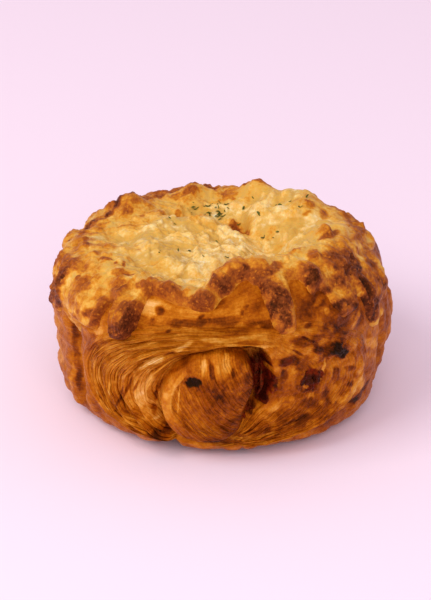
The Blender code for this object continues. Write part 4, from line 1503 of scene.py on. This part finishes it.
@dataclass
class InnerRoll:
    """The inner roll of a cut end: a bulging shell of sheets, pleated on top and smooth at the left."""

    shape: BunShape
    painter: DoughPainter
    end: RollEnd
    spokes: int
    rings: int
    back_height: float = -8.8
    edge_row: float = 0.03
    edge_overlap: float = 0.3
    skin_from: float = 0.7
    skin_rise: float = 0.9
    pleat_pitch: float = 7.3
    pleat_shift: float = 0.45
    pleat_height: float = 0.55
    cliff_width: float = 4.0
    cliff_depth: float = 1.2
    right: Sector = Sector(12, 44)
    left: Sector = Sector(192, 62)
    foot: Sector = Sector(262, 60)
    arc_centre: tuple[float, float] = (26.0, 15.0)
    pitches: tuple[float, ...] = (1.5, 0.7)

    def place(self, around: Floats, inwards: Floats) -> tuple[Floats, dict[str, Floats]]:
        """Places the grid of the inner roll.

        Args:
            around: Shares round the roll's middle.
            inwards: Shares from the buried back, over the edge, to the middle of the roll.

        Returns:
            Points in mm and their colour values.
        """
        shape, hand = self.shape, self.end.hand
        spoke = 2 * math.pi * around * hand
        inner = shape.inner_reach(spoke)
        degrees = np.degrees(spoke)
        edge_row = self.edge_row
        past_edge = np.clip((inwards - edge_row) / (1 - edge_row), 0, 1)
        buried = inwards < edge_row
        reach = (inner + self.edge_overlap) * (1 - past_edge)
        reach = np.where(buried, inner * 0.9 * inwards / edge_row, reach)
        across, up = reach * np.cos(spoke), reach * np.sin(spoke)
        angle = self.end.value + hand * (shape.roll_offset + across) / shape.arc
        climb = shape.roll_climb + up
        base = shape.point(angle, climb)
        inside = np.clip(reach / inner, 0, 1)
        right = hump(degrees, *self.right)
        cliff = self.cliff_depth * right * ease(self.cliff_width, 0.5, inner - reach)
        height = shape.swirl_relief(np.minimum(reach - cliff, inner - 0.001), spoke)
        height = height - 3.0 * np.clip(reach - inner, 0, None)

        # The smooth skin at the left, with a step where it starts
        left = hump(degrees, *self.left)
        band = np.clip((inside - self.skin_from) / (1 - self.skin_from), 0, 1)
        skin = left * ease(0.0, 0.12, band)
        step = 0.7 * (1 - ease(0, 0.1, band))
        height = height + left * (self.skin_rise * np.sin(math.pi * band) - step)

        # Sheets that curve round a point at the upper right
        slow = np.hypot(across - self.arc_centre[0], up - self.arc_centre[1])
        layer = slow + 0.7 * lattice_noise(base, 7.0, 131) + 0.2 * lattice_noise(base, 2.2, 132)
        layering, brown = np.zeros_like(reach), np.zeros_like(reach)
        for count, pitch in enumerate(self.pitches):
            edges, own = sheets(layer, base, pitch, 133 + 3 * count, 4.5 - 1.5 * count)
            layering = layering + 0.42 * pitch * edges
            # Each sheet's own tone, paler on its raised edge and darker in its gap: painted highlight
            # and painted shade
            brown = brown + 0.4 * own - 0.45 * (edges - 0.45)
        flaky = (1 - skin) * (0.45 + 0.55 * hump(degrees, *self.foot) * ease(0.4, 0.7, inside))
        flaky = flaky * (1 - 0.6 * ease(0.86, 1.0, inside))

        # Pleats on top
        top = ease(3.5, 8.5, up) * bell(across + 1, 10)
        wander = across + 0.8 * lattice_noise(base, 5.0, 141)
        pleat = np.cos(2 * math.pi * (wander - self.pleat_shift) / self.pleat_pitch)
        height = height + layering * flaky + self.pleat_height * top * pleat
        height = height + 0.22 * cloud(base, 3.0, 143, 4)
        values = self.painter.paint(turn(angle, self.end.value) * hand, climb, base)
        values["char"] = values["char"] * (self.end is RollEnd.FRONT)
        height = height - 0.5 * values["char"]
        height = np.where(buried, self.back_height + 0.4 * inwards / edge_row, height)
        points = shape.raised(angle, climb, height)
        points[:, 2] = np.maximum(points[:, 2], 0.1)
        # Darker inside than on the skin but lighter on the pleated top, as painted light from above;
        # darker still beside the skin's step, as painted shade; a pale line along the step
        line = left * bell(band - 0.02, 0.08)
        near = left * (1 - skin) * ease(0.35, 0.6, inside)
        toast_and_shading = values["toast_and_shading"] + 0.2 * brown * flaky - 0.05 * top * pleat - 0.04 * skin
        values["toast_and_shading"] = toast_and_shading + 0.2 * (1 - skin) * (1 - top) - 0.28 * line + 0.1 * near
        side = right * ease(1.6, 0.9, inner - reach)
        values["sauce"] = np.maximum(values["sauce"] * ease(0.8, 0.96, inside), 1.1 * side)
        values["layer"] = layer
        values["flaky"] = flaky
        values["rough"] = 0.4 * (1 - skin) * (1 - 0.5 * top)
        return points, values

    def build(self) -> Piece:
        """Builds the inner roll.

        Returns:
            The piece.
        """
        name = f"inner_roll_{self.end.name.lower()}"
        piece = wrapped_grid(name, self.spokes, self.rings, self.place)
        return dress(piece, "pastry", BakedDough().make())


@dataclass
class CheeseMelt:
    """The melted cheese: a lid that fills the bowl, covers the rim and runs down in tongues."""

    shape: BunShape
    columns: int = 540
    rows: int = 182
    under_rows: float = 0.03
    rim_rows: float = 0.68
    front_crowding: float = 0.25
    lowest_climb: float = 36.0
    base_toast: float = 0.21
    rim_toast: float = 0.13
    knob_toast: float = 0.2
    rope_toast: float = 0.14
    stain_toast: float = 0.9
    edge_toast: float = 0.1
    line_toast: float = 0.26
    crevice_toast: float = 0.7
    brown_limit: float = 0.62
    seared_limit: float = 0.84
    rim_line_climb: float = 60.5
    rope_angles: Slopes = Slopes((-48, -42), (12, 18))
    rope_height: float = 0.9
    ridged_angles: Slopes = Slopes((52, 60), (92, 104))
    ridged_climbs: tuple[float, float] = (52.0, 58.0)
    ridge_height: float = 1.3
    fold_height: float = 0.8
    fold_climb: float = 64.0
    puffs: tuple[tuple[float, float], ...] = ((8.5, 1.2), (4.2, 1.1), (2.1, 0.65), (1.1, 0.35))
    browned: tuple[Stain, ...] = rows_of(
        Stain,
        # The left knobs and tongues
        (-92, 58, 6.3, 1.7, 20, -0.12), (-74.5, 56, 10.5, 2.5, 6, 0.32), (-67, 58.5, 4.6, 2.3, 2, 0.3),
        (-71, 54, 3.5, 1.3, 12, 0.3), (-84, 53, 11, 1.5, -2, 0.26), (-83.5, 63, 9.5, 0.8, 1, 0.22),
        (-71.5, 65, 2.9, 1.1, -3, 0.2), (-68, 66.5, 3.8, 1.4, -10, -0.1), (-61.5, 65.5, 3.3, 1, 30, 0.3),
        (-56.5, 66.5, 1.3, 0.7, -12, 0.4), (-53.5, 68, 3, 0.6, -23, 0.4),
        (-46.5, 63.5, 3.4, 1.7, 14, 0.28), (-42, 64.5, 1.9, 0.7, 38, 0.3),
        (-58, 55.5, 6.6, 2.6, 6, 0.14), (-57.5, 55, 1.2, 0.5, -5, 0.25), (-54, 55.5, 2.9, 1.2, 8, 0.12),
        # Rows near climb 48 to 50 between -54 and -44 degrees, along the lower edge of the left fold,
        # are partly browned edge and partly painted shade under the fold
        (-57, 62, 3.3, 1.4, 6, 0.1), (-46, 54.5, 2, 1.1, 8, 0.2), (-53, 50, 2.9, 1.2, 16, 0.22),
        (-47.5, 50, 1.7, 0.9, 14, 0.3), (-51.5, 48, 4.3, 1.4, 26, 0.2), (-46.5, 52.5, 1.9, 1, 10, -0.1),
        (-45, 48, 4.6, 0.6, 42, 0.36), (-31.5, 54.5, 3.1, 2, 9, 0.32),
        (-30.5, 52.5, 2.3, 1.1, -79, 0.25), (-32, 49, 3.2, 2.1, 21, 0.4),
        (-43, 53.5, 3.9, 1.4, 10, 0.16), (-40.5, 61, 1.4, 0.8, 7, 0.2), (-29.5, 61.5, 3.3, 1.3, 3, 0.3),
        (-77, 45.5, 4.5, 4.5, 0, 0.45), (-69, 48, 2.6, 4, 20, 0.42), (-57, 54, 6, 3.5, 0, 0.14),
        (-44, 48.5, 5, 3, 0, 0.14), (-81, 65.5, 4, 3, 0, 0.08),
        # The string along the front edge
        (-21.5, 62, 4.1, 1.1, 0, 0.34), (-16, 62, 2.7, 1.3, 0, 0.16), (-6, 59.5, 4.3, 1.9, -2, 0.4),
        (-0.5, 63.5, 4.2, 1.9, -1, 0.42), (1.5, 63, 1.8, 1, 8, 0.14), (-11.5, 60.5, 2.6, 1.1, -20, 0.14),
        (6, 64, 3.2, 0.9, -2, 0.42), (12.5, 63.5, 3.3, 0.8, -9, 0.34), (13, 64.5, 1.1, 0.4, -9, 0.5),
        (18.5, 62.5, 3.5, 0.9, -3, 0.34), (27, 64, 4.7, 1.4, 15, 0.34), (3.5, 62.5, 2.8, 0.8, 5, 0.3),
        (11, 62.5, 4.7, 0.7, -17, 0.14), (19.5, 60, 4.7, 1.1, -8, 0.26), (16.5, 59.5, 2.2, 1, -3, 0.36),
        (22, 57, 3.5, 2, 6, 0.42), (22.5, 52.5, 3.3, 1.9, 85, 0.44), (18.5, 55.5, 2.2, 1.4, 3, 0.38),
        # The right knobs and tongues
        (70.5, 65, 6.2, 1, -7, 0.46), (71, 60.5, 6.8, 0.7, -8, -0.1), (86.5, 59, 7.3, 0.4, -12, 0.16),
        (77.5, 57.5, 8.2, 0.9, -11, 0.22), (80.5, 55, 6.7, 1.5, -4, 0.36), (58, 60.5, 8, 2.4, 0, 0.36),
        (53, 62, 3.7, 1.2, 10, 0.16), (66.5, 60.5, 4.5, 1.5, 3, 0.14), (46.5, 63.5, 3.9, 1.3, 11, 0.24),
        (40, 64, 5.3, 1.3, 0, -0.12), (44.5, 67.5, 9.7, 1, 6, 0.16), (38.5, 59, 3, 1.3, 31, 0.52),
        (36, 59, 1.3, 0.9, -9, 0.44), (42.5, 56, 3.2, 1, -1, 0.4), (43, 51, 2.9, 1.7, -4, 0.46),
        (51, 53.5, 3, 1.2, -2, -0.1), (51, 50.5, 5, 0.9, -33, 0.14), (46, 52.5, 2.5, 0.9, 1, 0.22),
        (60.5, 57, 6.6, 1.3, -11, 0.3), (63.5, 54.5, 5.1, 2, 0, 0.3), (61.5, 47.5, 7.9, 4.1, 83, 0.42),
        (58.5, 43, 4.5, 3.2, -86, 0.1), (86, 62.5, 7, 2.5, 0, -0.14),
        # The bowl and the back rim
        (-127.5, 67.5, 2.3, 1.6, 18, 0.2), (-133, 67, 2.1, 1, -9, 0.16), (-128, 73, 1.6, 1.3, 7, 0.2),
        (-112.5, 64, 2.8, 1.6, -2, 0.14), (-139.5, 70.5, 3.7, 1.6, 21, 0.12),
        (-157.5, 66.5, 2.6, 2, 4, 0.16), (-164.5, 67.5, 3.7, 1.3, 1, 0.24),
        (-151.5, 76.5, 2.7, 1.4, 32, 0.2), (-115, 65.5, 2.4, 1.1, 26, 0.12),
        (-108, 59, 2.9, 2.8, -10, 0.14), (-116, 73, 7.2, 0.9, -42, 0.14),
        (-140, 75.5, 3.8, 1.5, 25, 0.14), (-155.5, 85, 7.6, 2.3, 19, 0.12),
        (-85, 71, 6.7, 2.4, -4, 0.12), (-54, 81.5, 8.8, 3, -18, 0.12), (-72.5, 74.5, 11, 2.3, -11, 0.12),
        (-77, 77.5, 12.6, 0.3, -1, 0.14), (-37.5, 81.5, 3.1, 1.2, -2, 0.08),
        (-20.5, 81.5, 6.4, 1.7, 9, 0.1), (-53, 77, 4.2, 1.9, 57, 0.08), (161, 65.2, 6.3, 0.9, 0, 0.3),
        (169.5, 62, 3.4, 0.8, -68, 0.3), (174, 67.5, 3.9, 2.3, -11, 0.2),
        (-177.5, 67, 3.3, 2.5, 21, 0.12), (155, 84.5, 7.5, 2, -12, 0.16), (131, 89, 6.4, 1.4, 0, 0.12),
        (120, 70.5, 3.1, 1.3, -11, 0.24), (115.5, 73, 1.5, 1.2, -41, 0.36),
        (114.5, 68, 3.3, 1.6, -17, 0.3), (102, 59, 6.7, 2.3, -24, 0.22), (121, 86, 4, 3, 0, 0.16),
        (123, 72.5, 7, 2.5, 0, 0.1), (-57, 75, 6, 3.5, 20, 0.12),
        # Broad changes of tone
        (-158, 92, 19.4, 3.1, 1, 0.1), (-132, 70, 36, 9, 0, 0.13), (-95, 50, 12, 7, 0, 0.1),
        (120, 58, 40, 6, 0, 0.12), (-150, 56, 34, 6, 0, 0.12), (-75, 72, 9, 5, 0, -0.04),
        (-74, 67, 12, 5, 0, 0.08),
    )
    seared: tuple[Stain, ...] = rows_of(
        Stain,
        (21.5, 56, 4.6, 4.5, 0, 0.12), (22.5, 53, 4.6, 7.5, 0, 0.12), (64, 46, 10, 7, 0, 0.14),
        (47, 52, 11, 7, 0, 0.22), (-33, 50, 5, 5, 10, 0.08), (39, 58.5, 3.2, 3, 0, 0.24),
        (60, 58, 12, 4, 0, 0.08), (-168, 62.6, 12, 1.1, 0, 0.26), (-145, 63.8, 8, 1.1, 0, 0.24),
        (-126, 62.6, 8, 1.2, 0, 0.24), (-111, 58, 6, 1.2, -14, 0.22), (-98, 53, 7, 1.3, -20, 0.2),
        (7.5, 62.5, 9, 2, 0, 0.06), (-68, 46, 12, 5, 0, 0.1), (68, 50, 11, 8, 0, 0.18),
        (44, 51.5, 5, 3, 0, 0.14), (53, 51, 6, 4, 0, 0.12),
    )
    crevice: tuple[tuple[float, float], tuple[float, float]] = ((4.0, 22.0), (8.0, 13.0))

    def rope(self, angle: Floats, climb: Floats, base: Floats) -> Floats:
        """Works out the browned string along the front edge.

        Args:
            angle: Angles round the bun, in degrees.
            climb: Climbs in mm.
            base: The places on the plain bun in mm.

        Returns:
            How much of the string is at each place.
        """
        inset = self.shape.cheese_inset(angle, climb)
        front = plateau(turn(angle, 0), *self.rope_angles)
        return front * bell(inset - 1.7, 1.8) * (0.3 + 0.9 * np.abs(lattice_noise(base, 5.5, 115)) * 2)

    def toast_and_shading(self, angle: Floats, climb: Floats, base: Floats, puffed: Floats) -> Floats:
        """Works out how browned the cheese is, with painted shade under the left fold.

        Args:
            angle: Angles round the bun, in degrees.
            climb: Climbs in mm.
            base: The places on the plain bun in mm.
            puffed: Height of the small puffs, which brown first.

        Returns:
            A value for each point, 0 creamy and 1 burnt.
        """
        shape = self.shape
        ragged = 0.42 * cloud(base, 3.0, 91)
        rim = 1 - ease(60, 78, climb)
        toast_and_shading = self.base_toast + self.rim_toast * rim + 0.05 * cloud(base, 12.0, 95)
        toast_and_shading = toast_and_shading + (0.06 + 0.06 * rim) * cloud(base, 4.0, 97)
        toast_and_shading = toast_and_shading + (0.02 + 0.06 * rim) * puffed
        for knob in shape.knobs + shape.side_knobs():
            toast_and_shading = toast_and_shading + knob.brown * self.knob_toast * shape.lump(knob, angle, climb)
        toast_and_shading = toast_and_shading + self.rope_toast * self.rope(angle, climb, base)
        # A browned edge, and a browned line along the rim at the sides and the back
        edge = 1 - ease(0.0, 2.5, shape.cheese_inset(angle, climb))
        back = 1 - hump(angle, 0, 75)
        line = bell(climb - self.rim_line_climb - 1.5 * lattice_noise(base, 9.0, 99), 2.2) * back
        toast_and_shading = toast_and_shading + self.stain_toast * shape.stained(self.browned, angle, climb, ragged)
        toast_and_shading = toast_and_shading + self.edge_toast * edge + self.line_toast * line
        # A browned crack across the bowl
        start, stop = np.array(self.crevice)
        along = np.clip((base[:, :2] - start) @ (stop - start) / np.sum((stop - start) ** 2), 0, 1)
        off = np.linalg.norm(base[:, :2] - start - along[:, None] * (stop - start), axis=1)
        toast_and_shading = toast_and_shading + self.crevice_toast * bell(off + 0.8 * ragged, 1.5)
        toast_and_shading = toast_and_shading - 0.6 * np.clip(toast_and_shading - self.brown_limit, 0, None)
        toast_and_shading = toast_and_shading + shape.stained(self.seared, angle, climb, ragged)
        return toast_and_shading - 0.7 * np.clip(toast_and_shading - self.seared_limit, 0, None)

    def place(self, around: Floats, up: Floats) -> tuple[Floats, dict[str, Floats]]:
        """Places the grid of the cheese.

        Args:
            around: Shares round the bun.
            up: Shares from the middle of the underside, over the edge, to the middle of the top.

        Returns:
            Points in mm and their colour values.
        """
        shape = self.shape
        angle = np.degrees(2 * math.pi * around - self.front_crowding * np.sin(2 * math.pi * around))
        rows = (self.under_rows, self.rim_rows, 1.0)
        climb = np.interp(up, rows, (self.lowest_climb, shape.rim_climb + 8, shape.last_climb()))
        inset = shape.cheese_inset(angle, climb)
        base = shape.point(angle, climb)
        height = shape.wall_relief(angle, climb) + shape.cheese_lift(inset)
        height = height + shape.cheese_relief(angle, climb) * ease(-2.5, 0.5, inset)
        # Small puffs on the rim, melted lumps in the bowl with oil and painted shade marked between them
        shift = np.stack([lattice_noise(base, 6.0, 117 + part) for part in range(3)], axis=1)
        bent = base + 1.5 * shift
        bowl = ease(62, 76, climb)
        puffed, lumps = np.zeros_like(climb), np.zeros_like(climb)
        for count, (cell, size) in enumerate(self.puffs):
            noise = lattice_noise(bent, cell, 101 + count)
            puffed = puffed + size * (np.abs(noise) - 0.32) * (1 - bowl)
            lumps = lumps + size * (0.45 * noise + 0.9 * ease(-0.05, 0.5, noise) - 0.4)
        puffed = puffed + lumps * bowl
        rope = self.rope(angle, climb, base)
        toast_and_shading = self.toast_and_shading(angle, climb, base, puffed)
        crust = (billow(base, 1.2, 111) - 0.5) * 0.9 * ease(0.5, 0.7, toast_and_shading)
        # Fine upright ridges on the right tongues, and folds below the rim at the sides and back
        patch = plateau(turn(angle, 0), *self.ridged_angles) * (1 - ease(*self.ridged_climbs, climb))
        upright = np.column_stack([turn(angle, 0) * shape.arc, 0.16 * climb, 0 * climb])
        fine, finer = (np.abs(lattice_noise(upright, *grain)) for grain in ((1.7, 123), (0.9, 124)))
        ridges = fine + 0.5 * finer
        crust = crust * (1 - patch) + self.ridge_height * (ridges - 0.3) * patch
        radial = np.column_stack([turn(angle, 0) * shape.arc, 0.15 * climb, 0 * climb])
        back = 1 - hump(angle, 0, 90)
        folds = (np.abs(lattice_noise(radial, 4.5, 119)) - 0.4) * self.fold_height
        folds = folds * back * bell(climb - self.fold_climb, 7)
        shown = ease(-1.0, 1.8, inset)
        height = height + (puffed * (0.75 + 0.25 * bell(climb - 62, 12)) + crust + folds) * shown
        height = height + self.rope_height * rope - shape.sunk(angle, climb) * (1 - shown)
        points = shape.raised(angle, climb, height)
        under = np.clip(up / self.under_rows, 0, 1)
        flat = under < 1
        # The hidden underside closes at one point
        middle = np.array([0.0, 0.0, shape.bowl_height - 8.0])
        points[flat] = middle + (points[flat] - middle) * under[flat][:, None]
        # The browned grain and the ridges are paler on their tops, as painted highlights; the hollows
        # carry oil and painted shade
        return points, {"toast_and_shading": toast_and_shading - 0.12 * crust, "oil_and_shade": ease(0.3, -0.7, lumps)}

    def build(self) -> Piece:
        """Returns the cheese piece."""
        piece = wrapped_grid("melted_cheese", self.columns, self.rows, self.place)
        return dress(piece, "cheese", MeltedCheese().make())


@dataclass
class TomatoFilling:
    """The tomato layer: a bowed slab through the bun, lumpy where its ends show in the crevices."""

    shape: BunShape
    thickness: float = 2.6
    bow: tuple[tuple[float, float], ...] = ((9.0, 17.5), (12.3, 21.5), (13.6, 26.5), (12.4, 32.0))
    half_length: float = 46.6
    cap_share: float = 0.06
    bump_height: float = 0.5
    columns: int = 96
    rows: int = 120
    finish: SpeckledFinish = SpeckledFinish(
        "baked_tomato", 0.3, 1.38, 0.8, 0.15, 0.5, dark="#1c0201", light="#701806"
    )

    def place(self, around: Floats, along: Floats) -> tuple[Floats, dict[str, Floats]]:
        """Places the grid of the slab.

        Args:
            around: Shares round the slab.
            along: Shares from the front end to the back end.

        Returns:
            Points in mm and no values.
        """
        bow = np.array(self.bow) + (self.shape.side_shift, 0.0)
        # A flattened tube round the bowed line, closed at both ends
        half = 0.5 - 0.5 * np.cos(2 * math.pi * around)
        side = np.sign(np.sin(2 * math.pi * around))
        lengths = np.linspace(0, 1, len(bow))
        x, z = (np.interp(half, lengths, bow[:, part]) for part in (0, 1))
        thick = self.thickness * np.sqrt(np.clip(1 - (2 * half - 1) ** 4, 0, 1)) / 2
        close = np.clip(np.minimum(along, 1 - along) / self.cap_share, 0, 1)
        cap = np.sqrt(1 - (1 - close) ** 2)
        centre = np.array([bow[:, 0].mean(), bow[:, 1].mean()])
        x = centre[0] + (x + side * thick - centre[0]) * cap
        z = centre[1] + (z - centre[1]) * cap
        y = (2 * along - 1) * self.half_length
        points = np.stack([x, y, z], axis=1)
        bumps = self.bump_height * cloud(points, 2.2, 121) * close
        points[:, 0] += bumps
        points[:, 1] -= bumps * np.sign(y)
        return points, {}

    def build(self) -> Piece:
        """Returns the filling piece."""
        piece = wrapped_grid("tomato_slab", self.columns, self.rows, self.place)
        return dress(piece, "tomato_filling", self.finish.make())


@dataclass
class HerbFlakes:
    """Dried parsley: small curled leaf bits on the cheese, most of them in one patch at the back."""

    cheese: Piece
    patch: tuple[float, float] = (-3.2, 30.2)
    patch_spread: tuple[float, float] = (3.4, 1.9)
    patch_count: int = 30
    singles: tuple[tuple[float, float], ...] = (
        (-16.6, 14.2), (-14.8, 12), (-19.3, -11), (-5.6, -13.3), (-10.1, -5.7), (-13.6, -6.2),
        (10.1, 32.3), (17.4, 21.3), (18.6, 20.6), (21.7, 20.8), (26.8, 21.2), (11.8, 17.3),
        (16.2, 8.4), (17.6, 9.2), (12.9, 9.1), (1.5, -11.7), (5.3, 23), (7, 28.7), (-0.3, 33.6),
        (-1.6, 3.2), (24.9, 15.4),
    )
    length: tuple[float, float] = (0.8, 2.4)
    width_share: float = 0.46
    width_play: tuple[float, float] = (0.7, 1.4)
    thickness: float = 0.22
    lift: float = 0.15
    drop_height: float = 0.12
    seed: int = 11
    finish: SpeckledFinish = SpeckledFinish(
        "dried_parsley", 0.7, 1.4, 0.4, 0.1, 0.2, dark="#30360f", light="#6e7233"
    )

    def flake(self, place: tuple[float, float, float], draw: np.random.Generator) -> Piece:
        """Makes one leaf bit.

        Args:
            place: Its middle, in metres.
            draw: The random draw.

        Returns:
            The leaf bit as its own object.
        """
        bpy.ops.object.select_all(action="DESELECT")
        bpy.ops.mesh.primitive_uv_sphere_add(segments=8, ring_count=5, radius=0.5, location=(0, 0, 0))
        bit = bpy.context.object
        long = draw.uniform(*self.length)
        wide = long * self.width_share * draw.uniform(*self.width_play)
        spin, tip = draw.uniform(0, math.pi), draw.normal(0, 0.25)
        flat = np.empty(len(bit.data.vertices) * 3, np.float32)
        bit.data.vertices.foreach_get("co", flat)
        flat = flat.reshape(-1, 3)
        x, y, z = flat[:, 0] * long, flat[:, 1] * wide, flat[:, 2] * self.thickness
        z = z + 0.5 * x**2 / long + 0.25 * np.sin(3 * x + draw.uniform(0, 6)) + tip * x + self.lift
        across = x * math.cos(spin) - y * math.sin(spin)
        along = x * math.sin(spin) + y * math.cos(spin)
        placed = np.stack([across, along, z], axis=1) * METRES + np.array(place)
        bit.data.vertices.foreach_set("co", placed.astype(np.float32).ravel())
        return bit

    def build(self) -> Piece:
        """Drops the leaf bits on the cheese and joins them.

        Returns:
            The herb piece.
        """
        draw = np.random.default_rng(self.seed)
        places = list(draw.normal(self.patch, self.patch_spread, (self.patch_count, 2)))
        bits = []
        for x, y in places + list(self.singles):
            start = (x * METRES, y * METRES, self.drop_height)
            hit, point, _, _ = self.cheese.ray_cast(start, (0, 0, -1))
            if hit:
                bits.append(self.flake(tuple(point), draw))
        bpy.ops.object.select_all(action="DESELECT")
        for bit in bits:
            bit.select_set(True)
        bpy.context.view_layer.objects.active = bits[0]
        bpy.ops.object.join()
        piece = bits[0]
        piece.name = "herb_flakes"
        bpy.ops.object.shade_smooth()
        return dress(piece, "cheese", self.finish.make())


class SoftLight(NamedTuple):
    """A square light that looks at the bun: its name, place, size in metres, and power in watts."""

    name: str
    place: tuple[float, float, float]
    size: float
    watts: float


@dataclass(frozen=True)
class Studio:
    """Plain pale floor, soft light from the upper left, and the camera."""

    floor_colour: str = "#fdeaf7"
    world_colour: str = "#fdf0fa"
    world_strength: float = 0.68
    floor_size: float = 8.0
    lights: tuple[SoftLight, ...] = (
        SoftLight("key_softbox", (-0.85, -0.5, 1.0), 0.9, 8.6),
        SoftLight("front_fill", (0.1, -1.2, 0.8), 1.0, 6.0),
    )
    elevation: float = 27.0
    distance: float = 0.75
    target: tuple[float, float, float] = (0.0, 0.0, 0.024)
    pixels_per_metre: float = 3148.0
    target_pixel: tuple[float, float] = (221.9, 318.0)
    frame_pixels: tuple[float, float] = (431.0, 600.0)
    sensor: float = 36.0

    def build(self) -> None:
        """Makes the floor, the lights, the world and the camera."""
        self.lay_floor()
        self.hang_lights()
        self.set_camera()

    def lay_floor(self) -> None:
        """Adds the floor and the pale surroundings."""
        bpy.ops.object.select_all(action="DESELECT")
        bpy.ops.mesh.primitive_plane_add(size=self.floor_size, location=(0, 0, 0))
        floor = bpy.context.object
        floor.name = "floor"
        material = bpy.data.materials.new("matt_backdrop_paper")
        material.use_nodes = True
        shader = material.node_tree.nodes["Principled BSDF"]
        shader.inputs["Base Color"].default_value = linear(self.floor_colour)
        shader.inputs["Roughness"].default_value = 0.9
        shader.inputs["Specular IOR Level"].default_value = 0.1
        floor.data.materials.append(material)
        world = bpy.data.worlds.new("pale_room")
        world.use_nodes = True
        background = world.node_tree.nodes["Background"]
        background.inputs["Color"].default_value = linear(self.world_colour)
        background.inputs["Strength"].default_value = self.world_strength
        bpy.context.scene.world = world
        bpy.context.scene.view_settings.view_transform = "Standard"

    def hang_lights(self) -> None:
        """Adds a soft key light at the upper left and a weak fill from the front."""
        for name, place, size, watts in self.lights:
            bpy.ops.object.light_add(type="AREA", location=place)
            light = bpy.context.object
            light.name = name
            light.data.size = size
            light.data.energy = watts
            direction = -np.array(place) + np.array(self.target)
            yaw = math.atan2(direction[1], direction[0]) - math.pi / 2
            pitch = math.atan2(math.hypot(direction[0], direction[1]), -direction[2])
            light.rotation_euler = (pitch, 0.0, yaw)

    def set_camera(self) -> None:
        """Adds the camera where the photograph was taken from."""
        focal = self.pixels_per_metre * self.distance
        tilt = math.radians(self.elevation)
        right = (self.target_pixel[0] - self.frame_pixels[0] / 2) / focal * self.distance
        down = (self.target_pixel[1] - self.frame_pixels[1] / 2) / focal * self.distance
        place = (
            self.target[0] - right,
            self.target[1] - self.distance * math.cos(tilt) + down * math.sin(tilt),
            self.target[2] + self.distance * math.sin(tilt) + down * math.cos(tilt),
        )
        bpy.ops.object.camera_add(location=place, rotation=(math.pi / 2 - tilt, 0.0, 0.0))
        camera = bpy.context.object
        camera.name = "photo_camera"
        camera.data.sensor_width = self.sensor
        camera.data.lens = focal / max(self.frame_pixels) * self.sensor
        bpy.context.scene.camera = camera


def main() -> None:
    """Builds the dressed bun, the studio and the camera, in order."""
    logging.basicConfig(level=logging.INFO, format="%(name)s: %(message)s")
    shape = BunShape()
    painter = DoughPainter(shape)
    DoughWall(shape, painter).build()
    OuterTurn(shape, painter, RollEnd.FRONT, 400, 240).build()
    InnerRoll(shape, painter, RollEnd.FRONT, 300, 125).build()
    OuterTurn(shape, painter, RollEnd.BACK, 300, 150).build()
    InnerRoll(shape, painter, RollEnd.BACK, 180, 80).build()
    cheese = CheeseMelt(shape).build()
    TomatoFilling(shape).build()
    HerbFlakes(cheese).build()
    Studio().build()


if __name__ == "__main__":
    main()
